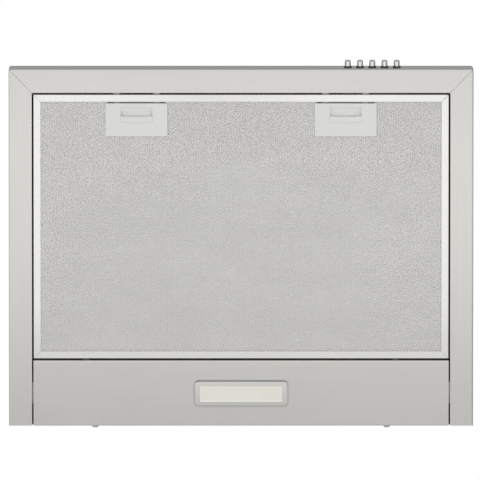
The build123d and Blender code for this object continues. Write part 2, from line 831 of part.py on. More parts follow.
def latch_slider(centre):
    """Plate with a finger pocket, a moulded lip and two tongues that reach over the front return."""
    y0, y1 = latch_front, latch_front + latch_length
    z0, z1 = latch_bottom, latch_top
    plate = block(centre - latch_width / 2, centre + latch_width / 2, y0, y1, z0, z1)
    edges = [e for e in plate.edges() if abs(e.center().Z - z0) < 0.01]
    plate = round_edges(plate, edges, 0.3)
    pocket_y0 = y0 + pocket_offset
    pocket_y1 = pocket_y0 + pocket_length
    half = pocket_width / 2
    deep = z0 + pocket_depth
    wall = pocket_wall
    shell_plan = bowed_plan(centre, half + wall, pocket_y0 - wall, pocket_y1 + wall, pocket_sag)
    shell = extrude(Pos(0, 0, z1) * shell_plan, amount=deep + pocket_wall - z1, dir=(0, 0, 1))
    plate += shell
    for offset in (-tongue_spacing / 2, tongue_spacing / 2):
        x0, x1 = centre + offset - tongue_width / 2, centre + offset + tongue_width / 2
        tip = opening_front + tongue_clearance
        bar = block(x0, x1, tip, pocket_y1, tongue_height, tongue_height + tongue_thickness)
        nose = [e for e in bar.edges().filter_by(Axis.X) if e.center().Y < tip + 0.01]
        plate += round_edges(bar, nose, 0.5)
        plate += block(x0, x1, pocket_y0 + 2, pocket_y1, z1, tongue_height)
    cut_plan = bowed_plan(centre, half, pocket_y0, pocket_y1, pocket_sag)
    cut = extrude(Pos(0, 0, z0 - 1) * cut_plan, amount=deep - z0 + 1, dir=(0, 0, 1))
    ramp = [
        (pocket_y0 - 1, z0 - 1.1), (pocket_y1 + 4, z0 - 1.1), (pocket_y1 + 4, deep),
        (pocket_y1 - 1.5, deep), (pocket_y0 - 1, z0 + 0.3),
    ]
    cut &= outline_x(ramp, centre - half - 1, centre + half + 1)
    lip = extrude(
        Pos(0, 0, z0 - lip_drop) * bowed_plan(centre, half, pocket_y1, pocket_y1 + lip_length, pocket_sag),
        amount=lip_drop + 0.2, dir=(0, 0, 1),
    )
    lip_edges = [e for e in lip.edges() if abs(e.center().Z - z0 + lip_drop) < 0.01]
    lip = round_edges(lip, lip_edges, lip_drop * 0.8)
    return plate + lip - cut


def latch_spring(centre):
    """Sleeve that holds the place of a small coil spring behind the pocket."""
    y0 = latch_front + pocket_offset + pocket_length + pocket_wall + pocket_sag + 0.1
    y1 = latch_front + latch_length - 3.4 - 1.4 - 0.1
    z = (latch_top + filter_top - profile_wall) / 2 - 0.2
    bore = rod_y(centre, z, latch_spring_radius - 0.6, y0 - 1, y1 + 1)
    return rod_y(centre, z, latch_spring_radius, y0, y1) - bore


# Buttons and switch

def bracket_stud_xs():
    """Studs on the strip's inner face, at the ends of the switch bracket."""
    reach = button_pitch * (button_count - 1) / 2 + 20
    return (button_centre_x - reach, button_centre_x + reach)


def push_button(x):
    """Chrome cap with a rounded tip and a stem that enters the switch."""
    tip = front_y - button_reach
    cap = rod_y(x, button_height, button_radius, tip, front_y + 1.5)
    edge = [e for e in cap.edges() if e.center().Y < tip + 0.01]
    cap = round_edges(cap, edge, button_tip)
    return cap + rod_y(x, button_height, stem_radius, front_y + 1.5, switch_front() + 9)


def switch_front():
    """Front face of the switch block, behind its bracket."""
    return front_y + sheet + seat_gap + bracket_wall + 4.6


def button_collars():
    """Five black collars, each with a flange outside and a neck through the strip."""
    collars = []
    for x in button_xs:
        ring = rod_y(x, button_height, collar_radius, front_y - collar_reach, front_y - 0.05)
        edge = [e for e in ring.edges() if e.center().Y < front_y - collar_reach + 0.01]
        ring = round_edges(ring, edge, 0.6)
        ring += rod_y(x, button_height, collar_neck, front_y - 0.05, switch_front() - seat_gap)
        bore = rod_y(x, button_height, button_radius + bore_clearance, front_y - 5, front_y + 20)
        collars.append(ring - bore)
    return collars


def switch_bracket():
    """Steel plate behind the strip, with two arms that carry the switch block."""
    reach = bracket_stud_xs()[1] - button_centre_x + 7
    y0 = front_y + sheet + seat_gap
    half_h = switch_height / 2 + 1.5
    plate = block(
        button_centre_x - reach, button_centre_x + reach, y0, y0 + bracket_wall,
        button_height - half_h + 1.5, button_height + half_h + 1.5,
    )
    for x in button_xs:
        plate -= rod_y(x, button_height, collar_neck + bore_clearance, y0 - 1, y0 + bracket_wall + 1)
    for x in bracket_stud_xs():
        plate -= rod_y(x, button_height, stud_radius + screw_clearance, y0 - 1, y0 + bracket_wall + 1)
    arm_in = switch_half() + seat_gap
    for side in (-1, 1):
        a = button_centre_x + side * arm_in
        b = a + side * bracket_wall
        plate += block(
            min(a, b), max(a, b), y0, switch_front() + 18, button_height - 7, button_height + 7
        )
    return plate


def switch_half():
    """Half the length of the switch block."""
    return button_pitch * (button_count - 1) / 2 + 11


def switch_block():
    """Housing of the push switch with five blind bores and a row of terminals."""
    y0 = switch_front()
    half = switch_half()
    z0, z1 = button_height - switch_height / 2 + 1.5, button_height + switch_height / 2 + 1.5
    body = block(button_centre_x - half, button_centre_x + half, y0, y0 + switch_depth, z0, z1)
    body = round_edges(body, body.edges().filter_by(Axis.X), 1.0)
    for x in button_xs:
        depth = 9 + button_travel + 1.5
        body -= rod_y(x, button_height, stem_radius + bore_clearance, y0 - 1, y0 + depth)
        body += block(x - 2.5, x + 2.5, y0 + switch_depth - 0.5, y0 + switch_depth + 6, z1 - 9, z1 - 8.2)
    return body


def switch_nuts():
    """Two flanged nuts that clamp the bracket on its studs."""
    y = front_y + sheet + seat_gap + bracket_wall
    nuts = []
    for x in bracket_stud_xs():
        hexagon = Plane(origin=(x, y + 0.9, button_height), z_dir=(0, 1, 0)) * RegularPolygon(4.0, 6)
        nut = rod_y(x, button_height, 5.0, y + 0.05, y + 1.0) + extrude(hexagon, amount=3.0)
        nuts.append(nut - rod_y(x, button_height, stud_radius + thread_clearance, y - 1, y + 5))
    return nuts


# Blower

def arc_2d(centre, radius, start, end):
    """An arc by its centre, radius and end angles in degrees."""
    points = []
    for angle in (start, (start + end) / 2, end):
        a = radians(angle)
        points.append((centre[0] + radius * cos(a), centre[1] + radius * sin(a)))
    return ThreePointArc(*points)


def scroll_face(grow, top):
    """Side outline of the scroll: three arcs that widen to a straight outlet."""
    r1 = scroll_start + grow
    r2 = r1 + scroll_step
    r3 = r2 + scroll_step
    lip = degrees_of(asin(grow / r1)) if grow else 0.0
    start = (-grow, sqrt(r1 ** 2 - grow ** 2))
    lines = [
        arc_2d((0, 0), r1, 90 + lip, 180),
        arc_2d((scroll_step, 0), r2, 180, 270),
        arc_2d((scroll_step, scroll_step), r3, 270, 360),
        Line((scroll_step + r3, scroll_step), (scroll_step + r3, top)),
        Line((scroll_step + r3, top), (-grow, top)),
        Line((-grow, top), start),
    ]
    return Pos(0, fan_y, fan_height) * (Plane.YZ * make_face(Curve() + lines).face())


def degrees_of(angle):
    """Radians as degrees."""
    return angle * 180 / pi


def scroll_bosses():
    """Places of the bosses that join the two halves, round the scroll."""
    r2 = scroll_start + scroll_step + plastic + head_radius + 0.6
    r3 = r2 + scroll_step
    places = []
    for centre, radius, angle in (((1, 0), r2, 200), ((1, 0), r2, 250), ((1, 1), r3, 315)):
        a = radians(angle)
        u = centre[0] * scroll_step + radius * cos(a)
        v = centre[1] * scroll_step + radius * sin(a)
        places.append((fan_y + u, fan_height + v))
    return places


def scroll_body():
    """The whole scroll housing before it is split in two."""
    half = scroll_outer_half
    outer = extrude(Pos(-half, 0, 0) * scroll_face(plastic, outlet_top), amount=2 * half, dir=(1, 0, 0))
    inner = extrude(
        Pos(-scroll_half, 0, 0) * scroll_face(0, outlet_top + 1), amount=2 * scroll_half, dir=(1, 0, 0)
    )
    x1, y0, y1 = half + outlet_flange, fan_y - plastic - outlet_flange, outlet_rear + plastic + outlet_flange
    flange = block(-x1, x1, y0, y1, outlet_z - plastic, outlet_z)
    flange -= block(-half + 1, half - 1, fan_y - plastic + 1, outlet_rear + plastic - 1, 0, outlet_z + 1)
    body = outer + flange
    for x, y in foot_places():
        side = 1 if x > 0 else -1
        near = side * (half - 0.5)
        far = side * (half + foot_length)
        z0 = deck_top + seat_gap
        body += block(
            min(near, far), max(near, far), y - foot_width / 2, y + foot_width / 2, z0, z0 + foot_thickness
        )
    for y, z in scroll_bosses():
        body += rod_x(y, z, 5.2, -12, 12)
    body -= inner
    body -= rod_x(fan_y, fan_height, inlet_radius, -half - 1, half + 1)
    for x, y in foot_places():
        body -= rod_z(x, y, screw_radius + screw_clearance, deck_top - 1, deck_top + 6)
    for y, z in scroll_bosses():
        body -= rod_x(y, z, screw_radius + thread_clearance, -13, 13)
    for y, z in motor_mounts():
        body -= rod_x(y, z, screw_radius + thread_clearance, half - plastic - 1, half + 1)
    for x, y in collar_screw_places():
        body -= rod_z(x, y, screw_radius + thread_clearance, outlet_z - plastic - 1, outlet_z + 1)
    return body


def motor_mounts():
    """Places of the three rubber mounts on the right inlet."""
    return [
        (fan_y + mount_circle * cos(radians(a)), fan_height + mount_circle * sin(radians(a)))
        for a in (90, 210, 330)
    ]


def scroll_halves():
    """Left and right halves of the scroll housing."""
    body = scroll_body()
    wide = scroll_outer_half + 40
    left = body & block(-wide, -seam / 2, -400, 0, 0, 400)
    right = body & block(seam / 2, wide, -400, 0, 0, 400)
    return left, right


def scroll_screws():
    """Three long screws through the bosses."""
    return [screw((12.05, y, z), (1, 0, 0), 23.0) for y, z in scroll_bosses()]


def impeller():
    """Double inlet wheel: a middle disc, two end rings, forward curved blades and a hub."""
    wheel = rod_x(0, 0, fan_radius - 0.5, -1, 1)
    for side in (-1, 1):
        a, b = side * (fan_half - 2), side * fan_half
        end_ring = rod_x(0, 0, fan_radius, min(a, b), max(a, b))
        wheel += end_ring - rod_x(0, 0, blade_root, min(a, b) - 1, max(a, b) + 1)
    wheel += rod_x(0, 0, 13, -16, 4)
    chord = fan_radius - blade_root
    mid = (fan_radius + blade_root) / 2
    blade = Box(2 * fan_half - 2, chord / cos(radians(blade_angle)), blade_thickness)
    blade = Pos(0, mid, 0) * Rot(blade_angle, 0, 0) * blade
    blade &= rod_x(0, 0, fan_radius - 0.3, -fan_half, fan_half)
    blades = [Rot(360 / blade_count * i, 0, 0) * blade for i in range(blade_count)]
    wheel = wheel.fuse(*[s for b in blades for s in b.solids()])
    wheel = wheel - rod_x(0, 0, shaft_radius, -17, 5)
    return Pos(0, fan_y, fan_height) * wheel


def motor_shaft():
    """Steel shaft from the hub into the motor, with a nut on its free end."""
    shaft = rod_x(fan_y, fan_height, shaft_radius, -22, motor_end() - 4)
    nut = Plane(origin=(-22, fan_y, fan_height), z_dir=(1, 0, 0)) * extrude(RegularPolygon(7, 6), amount=5.9)
    return shaft + nut


def motor_end():
    """Outer end of the motor, against its bracket."""
    return scroll_outer_half + motor_bracket_gap - seat_gap


def motor():
    """Motor can with rounded ends, a bearing nose and a bore for the shaft."""
    can = rod_x(fan_y, fan_height, motor_radius, motor_start, motor_end())
    can = fillet(can.edges(), 4)
    can += rod_x(fan_y, fan_height, 11, motor_start - 4, motor_start + 1)
    can -= rod_x(fan_y, fan_height, shaft_radius + shaft_clearance, motor_start - 5, motor_end() - 3)
    for y, z in motor_screw_places():
        can -= rod_x(y, z, screw_radius + thread_clearance, motor_end() - 8, motor_end() + 1)
    return can


def motor_screw_places():
    """Screws that hold the motor to its bracket."""
    return [(fan_y + 24 * cos(radians(a)), fan_height + 24 * sin(radians(a))) for a in (90, 210, 330)]


def motor_bracket():
    """Three armed steel plate across the right inlet."""
    x0 = scroll_outer_half + motor_bracket_gap
    x1 = x0 + motor_bracket_sheet
    plate = rod_x(fan_y, fan_height, 31, x0, x1)
    for (y, z), angle in zip(motor_mounts(), (90, 210, 330)):
        arm = Box(motor_bracket_sheet, mount_circle, 13)
        arm = Pos(0, mount_circle / 2, 0) * arm
        arm = Rot(angle, 0, 0) * arm
        plate += Pos((x0 + x1) / 2, fan_y, fan_height) * arm
        plate += rod_x(y, z, 6.5, x0, x1)
        plate -= rod_x(y, z, screw_radius + screw_clearance, x0 - 1, x1 + 1)
    plate -= rod_x(fan_y, fan_height, 10, x0 - 1, x1 + 1)
    for y, z in motor_screw_places():
        plate -= rod_x(y, z, screw_radius + screw_clearance, x0 - 1, x1 + 1)
    return plate


def motor_grommets():
    """Rubber mounts between the housing and the bracket."""
    x0, x1 = scroll_outer_half + seat_gap, scroll_outer_half + motor_bracket_gap - seat_gap
    return [
        rod_x(y, z, grommet_radius, x0, x1) - rod_x(y, z, screw_radius + screw_clearance, x0 - 1, x1 + 1)
        for y, z in motor_mounts()
    ]


def motor_screws():
    """Screws through the bracket into the housing and the motor."""
    x = scroll_outer_half + motor_bracket_gap + motor_bracket_sheet + 0.05
    outer = [screw((x, y, z), (1, 0, 0), 6.0) for y, z in motor_mounts()]
    return outer + [screw((x, y, z), (1, 0, 0), 6.0) for y, z in motor_screw_places()]


def inlet_grille():
    """Round finger guard over the right inlet."""
    x0 = scroll_outer_half + seat_gap
    x1 = x0 + grille_reach
    bar = grille_bar

    def ring(radius, a, b):
        return rod_x(0, 0, radius, a, b) - rod_x(0, 0, radius - bar, a - 1, b + 1)

    guard = ring(grille_radius, x0, x0 + 3) + ring(grille_radius, x1 - bar, x1)
    for radius in (58, 44, 30):
        guard += ring(radius, x1 - bar, x1)
    guard += rod_x(0, 0, 16, x1 - bar, x1)
    spokes = []
    for i in range(12):
        spoke = block(x1 - bar, x1, 15, grille_radius - 0.3, -bar / 2, bar / 2)
        spoke += block(x0, x1, grille_radius - bar, grille_radius - 0.3, -bar / 2, bar / 2)
        spokes += (Rot(30 * i, 0, 0) * spoke).solids()
    guard = guard.fuse(*spokes)
    return Pos(0, fan_y, fan_height) * guard


capacitor_x = -(chimney_width / 2 - capacitor_radius - capacitor_gap)
capacitor_y = fan_y + 3 * capacitor_radius


def capacitor():
    """Run capacitor, standing on the deck."""
    can = rod_z(capacitor_x, capacitor_y, capacitor_radius, deck_top + seat_gap, deck_top + capacitor_height)
    return fillet(can.edges().group_by(Axis.Z)[-1], 2)


def capacitor_clip():
    """Strap round the capacitor, with a foot on the deck."""
    z0 = deck_top + seat_gap
    x, y = capacitor_x, capacitor_y
    near = y - capacitor_radius - 0.5
    strap = rod_z(x, y, capacitor_radius + clip_wall, z0, z0 + clip_height)
    strap += block(x - 7, x + 7, near - 14, near, z0, z0 + clip_wall)
    strap += block(x - 7, x + 7, near - clip_wall, near, z0, z0 + clip_height - 4)
    return strap - rod_z(x, y, capacitor_radius + seat_gap, z0 - 1, z0 + clip_height + 1)


# Outlet collar and flaps

def collar_screw_places():
    """Four screws at the corners of the outlet flange."""
    x = scroll_outer_half + outlet_flange / 2
    y0 = fan_y - plastic - outlet_flange / 2
    y1 = outlet_rear + plastic + outlet_flange / 2
    return [(-x, y0), (x, y0), (-x, y1), (x, y1)]


def flap_height():
    """Height of the flaps' pin."""
    return outlet_z + seat_gap + collar_base + 9


def outlet_collar():
    """Round collar on a square base, with a seat ring for the flaps and a bar for their pin."""
    z0 = outlet_z + seat_gap
    x1 = scroll_outer_half + outlet_flange
    y0, y1 = fan_y - plastic - outlet_flange, outlet_rear + plastic + outlet_flange
    collar = block(-x1, x1, y0, y1, z0, z0 + collar_base)
    collar += rod_z(0, outlet_y, collar_outer, z0, z0 + collar_length)
    bore = collar_outer - collar_wall
    seat = flap_height() - knuckle_radius - 1.0
    collar -= rod_z(0, outlet_y, bore, seat, z0 + collar_length + 1)
    collar -= rod_z(0, outlet_y, bore - 3.5, z0 - 1, seat + 1)
    for x, y in collar_screw_places():
        collar -= rod_z(x, y, screw_radius + screw_clearance, z0 - 1, z0 + collar_base + 1)
    for side in (-1, 1):
        a = outlet_y + side * (bore + 0.6)
        b = outlet_y + side * (bore - 6)
        ear = block(-4.5, 4.5, min(a, b), max(a, b), seat - 0.5, flap_height() + 4)
        collar += ear
    reach = bore - 0.9
    return collar - rod_y(0, flap_height(), pin_radius + 0.02, outlet_y - reach, outlet_y + reach)


def flap_pin():
    """Steel pin across the collar."""
    reach = collar_outer - collar_wall - 1.0
    return rod_y(0, flap_height(), pin_radius, outlet_y - reach, outlet_y + reach)


def knuckle_spans(side):
    """Stretches of the pin that each flap's knuckles hold."""
    pitch = knuckle_length + 1.0
    start = outlet_y - 2 * pitch + 0.5
    first = 0 if side < 0 else 1
    return [(start + pitch * i, start + pitch * i + knuckle_length) for i in (first, first + 2)]


def damper_flap(side):
    """Half round flap on one side of the pin, with two knuckles."""
    z = flap_height()
    bore = collar_outer - collar_wall
    radius = bore - 1.6
    z0, z1 = z - knuckle_radius, z - knuckle_radius + flap_sheet
    disc = rod_z(0, outlet_y, radius, z0, z1)
    a, b = side * (knuckle_radius + flap_gap), side * 100
    half = disc & block(min(a, b), max(a, b), -400, 0, z0 - 1, z1 + 1)
    ears_y = bore - 6 - 1.2
    half -= block(-6.5, 6.5, outlet_y + ears_y, outlet_y + 100, z0 - 1, z1 + 1)
    half -= block(-6.5, 6.5, outlet_y - 100, outlet_y - ears_y, z0 - 1, z1 + 1)
    for y0, y1 in knuckle_spans(side):
        half += rod_y(0, z, knuckle_radius, y0, y1)
        reach = side * (knuckle_radius + flap_gap + 1)
        half += block(min(0, reach), max(0, reach), y0, y1, z0, z1)
    return half - rod_y(0, z, pin_radius + pin_clearance, outlet_y - 100, outlet_y + 100)


def collar_screws():
    """Four screws through the collar's base."""
    z = outlet_z + seat_gap + collar_base + 0.05
    return [screw((x, y, z), (0, 0, 1), collar_base + plastic + 0.5) for x, y in collar_screw_places()]


def foot_screws():
    """Four screws through the blower's feet and the deck."""
    z = deck_top + seat_gap + foot_thickness + 0.05
    return [screw((x, y, z), (0, 0, 1), foot_thickness + deck_sheet + 2.8) for x, y in foot_places()]


def deck_screws():
    """Six screws that hold the deck to the panels."""
    return [screw((x, y, deck_top + 0.05), (0, 0, 1), 4.0) for x, y in deck_screw_places()]


# Terminal box and leads

box_x0 = scroll_outer_half + foot_length + box_gap
box_x1 = chimney_width / 2 - box_cover_gap
box_y1 = -box_rear_gap
box_y0 = box_y1 - box_length
box_middle = (box_x0 + box_x1) / 2
gland_y = box_y1 - box_length / 4


def terminal_box():
    """Plastic box on the deck, open at the top."""
    z0 = deck_top + seat_gap
    box = block(box_x0, box_x1, box_y0, box_y1, z0, z0 + box_height)
    box = round_edges(box, box.edges().filter_by(Axis.Z), box_corner)
    w = box_wall
    box -= block(box_x0 + w, box_x1 - w, box_y0 + w, box_y1 - w, z0 + w, z0 + box_height + 1)
    front, *bottom = lead_holes()
    box -= rod_y(front[0] - 1, lead_entry_height(), lead_radius + 0.3, box_y0 - 1, box_y0 + w + 1)
    for x, y, radius in bottom:
        box -= rod_z(x, y, radius - 0.6, z0 - 1, z0 + w + 1)
    return box


def terminal_lid():
    """Lid of the terminal box with the hole for the gland."""
    z0 = deck_top + seat_gap + box_height + seat_gap
    lid = block(box_x0, box_x1, box_y0, box_y1, z0, z0 + box_wall)
    lid = round_edges(lid, lid.edges().filter_by(Axis.Z), box_corner)
    a = box_wall + 0.4
    b = a + 2.0
    lid += block(box_x0 + a, box_x1 - a, box_y0 + a, box_y1 - a, z0 - 3, z0)
    lid -= block(box_x0 + b, box_x1 - b, box_y0 + b, box_y1 - b, z0 - 4, z0)
    return lid - rod_z(box_middle, gland_y, gland_thread + seat_gap, z0 - 5, z0 + 3)


def terminal_block():
    """Row of screw terminals inside the box."""
    z0 = deck_top + 2 * seat_gap + box_wall
    half = 0.29 * (box_x1 - box_x0)
    start = box_y0 + 0.19 * box_length
    pitch = 0.135 * box_length
    body = block(box_middle - half, box_middle + half, start, start + 3 * pitch, z0, z0 + box_height / 2 - 1)
    for i in range(3):
        body -= rod_z(box_middle, start + pitch * (i + 0.5), 2.4, z0 + 6, z0 + box_height)
    return body


def cord_gland():
    """Cable gland in the lid: a threaded body, a hexagon and a clamp nut, with a through bore."""
    z = deck_top + 2 * seat_gap + box_height
    body = rod_z(box_middle, gland_y, gland_thread, z - gland_below, z + 4)
    body += Pos(box_middle, gland_y, z + 2.05) * extrude(RegularPolygon(11, 6), amount=5)
    nut = rod_z(box_middle, gland_y, gland_thread + 1.2, z + 7.05, z + gland_above)
    nut = fillet(nut.edges().group_by(Axis.Z)[-1], 2)
    body += nut
    return body - rod_z(box_middle, gland_y, gland_bore, z - gland_below - 1, z + gland_above + 1)


def lead(points, radius=lead_radius):
    """A round lead along straight runs joined by large tangent arcs."""
    corners = [Vector(*p) for p in points]
    radii = []
    for before, at, after in zip(corners, corners[1:], corners[2:]):
        turn = (at - before).get_angle(after - at)
        shorter = min((at - before).length, (after - at).length)
        radii.append(0.45 * shorter / tan(radians(turn / 2)))
    path = FilletPolyline(*points, radius=radii)
    section = Plane(origin=path @ 0, z_dir=path % 0) * Circle(radius)
    return sweep(section, path=path)


def between(start, end, shares):
    """Points at given shares of the way from one point to another, with a share for each axis."""
    return [tuple(a + (b - a) * f for a, b, f in zip(start, end, share)) for share in shares]


def switch_lead():
    """Lead from the switch up the right side and through the deck to the terminal box."""
    x, y, radius = lead_holes()[0]
    start = (button_centre_x + button_pitch / 2, switch_front() + switch_depth + 0.1, button_height)
    deck_point = (x, y - radius / 3, canopy_height - 2)
    middle = between(start, deck_point, [
        (0.0, 0.11, 0.005), (-0.05, 0.25, 0.08), (-0.08, 0.41, 0.22), (0.0, 0.56, 0.39),
        (0.17, 0.69, 0.57), (0.42, 0.81, 0.74), (0.74, 0.91, 0.88),
    ])
    turn = (x - 1, y + lead_turn_length / 2, lead_entry_height() - 2)
    return lead([start, *middle, deck_point, turn, (x - 1, box_y0 + box_wall + 0.2, lead_entry_height())])


def motor_lead():
    """Lead from the motor's end, out through the guard's side and up into the terminal box."""
    x, y, _ = lead_holes()[1]
    r = fan_radius
    shares = [
        (0.0, 0.0, -0.093), (0.093, 0.0, -0.09), (0.174, 0.0, -0.044), (0.22, 0.003, 0.037),
        (0.22, 0.04, 0.213), (0.213, 0.187, 0.413), (0.21, 0.373, 0.587), (0.213, 0.573, 0.687),
    ]
    points = [(motor_end() + 0.1 + r * a, fan_y + r * b, fan_height + r * c) for a, b, c in shares]
    rise = deck_top - canopy_height + box_wall + 2 * seat_gap
    end = (x - 0.2, y, canopy_height + rise + 1.2)
    return lead([*points, (x - 3, y - 1, canopy_height - 12), end], motor_lead_radius)


def lamp_lead():
    """Lead from the lamp housing up beside the back plate and through the deck to the terminal box."""
    x, y, _ = lead_holes()[2]
    start = (lamp_hole_length / 2 + 0.7, lens_y, lamp_seat + lamp_housing_height - 8)
    deck_point = (x + 1.7, y + 2.2, canopy_height - 6)
    middle = between(start, deck_point, [
        (0.5, -0.05, 0.005), (0.98, -0.33, 0.06), (1.35, -0.8, 0.16), (1.57, -1.2, 0.30),
        (1.65, -1.35, 0.456), (1.6, -1.05, 0.61), (1.43, -0.5, 0.76), (1.2, 0.4, 0.894),
    ])
    return lead([start, *middle, deck_point, (x - 0.3, y - 0.8, deck_top + 8)])


# Chimney

def cover(half, front, rear, z0, z1, corner, flange_top):
    """A U shaped chimney cover with inward flanges at the wall."""
    body = block(-half, half, front, rear, z0, z1)
    edges = [e for e in body.edges().filter_by(Axis.Z) if e.center().Y < (front + rear) / 2]
    body = round_edges(body, edges, corner)
    hollow = block(-half + sheet, half - sheet, front + sheet, rear - sheet, z0 - 1, z1 + 1)
    edges = [e for e in hollow.edges().filter_by(Axis.Z) if e.center().Y < (front + rear) / 2]
    body -= round_edges(hollow, edges, corner - sheet)
    gap = half - cover_return
    body -= block(-gap, gap, rear - 2, rear + 1, z0 - 1, z1 + 1)
    if flange_top < z1:
        body -= block(-half + sheet, half - sheet, rear - 2, rear + 1, flange_top, z1 + 1)
    return body


def cover_screw_place():
    """Depth and height of the screws that hold the lower cover."""
    return -chimney_depth / 2 + 1, deck_top + lug_screw_height


def lower_chimney():
    """Outer cover, standing on the deck."""
    body = cover(
        chimney_width / 2, -chimney_depth, -chimney_wall_gap, deck_top + seat_gap, lower_top,
        cover_corner, lower_top + 1,
    )
    y, z = cover_screw_place()
    reach = chimney_width / 2 + 1
    return body - rod_x(y, z, screw_radius + screw_clearance, -reach, reach)


def upper_chimney():
    """Inner cover with a row of vents near the top of each side, which slides up inside the lower one."""
    corner = cover_corner - sheet + 0.2
    body = cover(upper_half, upper_front, upper_rear, upper_bottom, upper_top, corner, lower_top + 2)
    for i in range(vent_count):
        z = upper_top - 60 - i * vent_pitch
        y = (upper_front + upper_rear) / 2
        body -= block(
            -upper_half - 1, upper_half + 1, y - vent_length / 2, y + vent_length / 2,
            z - vent_width / 2, z + vent_width / 2,
        )
    reach = upper_half + 1
    return body - rod_x(flue_screw_y, flue_screw_height(), screw_radius + screw_clearance, -reach, reach)


def flue_screw_height():
    """Height of the screws that hold the upper cover to its bracket."""
    return upper_top - 10


def flue_bracket():
    """Wall strap for the upper cover: a slotted rear bar and two side legs."""
    z = flue_screw_height()
    z0, z1 = z - flue_half_height, z + flue_half_height
    x1 = upper_half - sheet - seat_gap
    bar = block(-x1, x1, -flue_sheet, 0, z0, z1)
    for side in (-1, 1):
        a, b = side * x1, side * (x1 - flue_sheet)
        bar += block(min(a, b), max(a, b), -flue_leg, 0, z0, z1)
        x = side * flue_slot_spacing / 2
        half = (flue_slot_length - flue_slot_width) / 2
        slot = block(x - half, x + half, -3, 1, z - flue_slot_width / 2, z + flue_slot_width / 2)
        slot += rod_y(x - half, z, flue_slot_width / 2, -3, 1)
        slot += rod_y(x + half, z, flue_slot_width / 2, -3, 1)
        bar -= slot
        bar -= rod_x(flue_screw_y, z, screw_radius + thread_clearance, min(a, b) - 1, max(a, b) + 1)
    return bar


def side_screws(x, y, z, length):
    """A pair of screws on the two sides, heads outwards."""
    return [screw((x, y, z), (1, 0, 0), length), screw((-x, y, z), (-1, 0, 0), length)]


def pan_screws():
    """Two pan head screws through the lamp panel's rear flange."""
    return [
        screw(
            (x, rear_y + 0.02, pan_screw_height), (0, 1, 0), 5.5,
            radius=pan_head_radius, height=pan_head_height,
        )
        for x in (-pan_screw_spacing / 2, pan_screw_spacing / 2)
    ]


def lamp_screws():
    """Two screws through the lamp housing's ears."""
    z = lamp_seat + 2.05
    return [screw((x, y, z), (0, 0, 1), z - 0.05) for x, y in lamp_screw_places()]


front_panel, right_panel = canopy_panels()
save("front_panel", front_panel)
save("left_panel", mirrored(right_panel))
save("right_panel", right_panel)
save("corner_brackets", corner_brackets())
save("back_plate", back_plate())
save("deck_plate", deck())

save("lamp_panel", lamp_panel())
save("panel_clips", panel_clips())
save("lamp_bezel", lamp_bezel())
save("lamp_lens", lamp_lens())
save("lamp_housing", lamp_housing())
save("led_board", led_board())
save("lamp_screws", *lamp_screws())
save("rear_screws", *pan_screws())

save("filter_frame", profile_frame())
save("filter_face_mesh", filter_face())
save("filter_layers", *filter_layers())
save("filter_tabs", *filter_tabs())
save("latch_bases", *[latch_base(x) for x in latch_centres()])
save("latch_springs", *[latch_spring(x) for x in latch_centres()])
for side_name, middle in zip(("left", "right"), latch_centres()):
    save(f"latch_{side_name}", latch_slider(middle))

for number, place in enumerate(button_xs, start=1):
    save(f"push_button_{number}", push_button(place))
save("button_collars", *button_collars())
save("switch_bracket", switch_bracket())
save("switch_block", switch_block())
save("switch_nuts", *switch_nuts())

scroll_left, scroll_right = scroll_halves()
grille = inlet_grille()
save("scroll_left", scroll_left)
save("scroll_right", scroll_right)
save("inlet_grilles", mirrored(grille), grille)
save("impeller", impeller())
save("motor", motor())
save("motor_shaft", motor_shaft())
save("motor_bracket", motor_bracket())
save("motor_grommets", *motor_grommets())
save("motor_screws", *motor_screws())
save("capacitor", capacitor())
save("capacitor_clip", capacitor_clip())
save("blower_screws", *foot_screws(), *scroll_screws(), *collar_screws())
save("deck_screws", *deck_screws())

save("outlet_collar", outlet_collar())
save("flap_left", damper_flap(-1))
save("flap_right", damper_flap(1))
save("flap_pin", flap_pin())

save("terminal_box", terminal_box())
save("terminal_lid", terminal_lid())
save("terminal_block", terminal_block())
save("cord_gland", cord_gland())
save("switch_lead", switch_lead())
save("motor_lead", motor_lead())
save("lamp_lead", lamp_lead())

save("lower_chimney", lower_chimney())
save("upper_chimney", upper_chimney())
save("flue_bracket", flue_bracket())
save("chimney_screws", *side_screws(chimney_width / 2 + 0.05, *cover_screw_place(), 5.0))
save("flue_screws", *side_screws(upper_half + 0.05, flue_screw_y, flue_screw_height(), 4.0))
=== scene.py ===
"""Looks of a wall mounted chimney range hood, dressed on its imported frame.

Lengths are in metres in the part's own frame: X to the right as seen from the kitchen, Y to the
wall, Z up, with the origin on the wall midway between the hanging slots.
"""

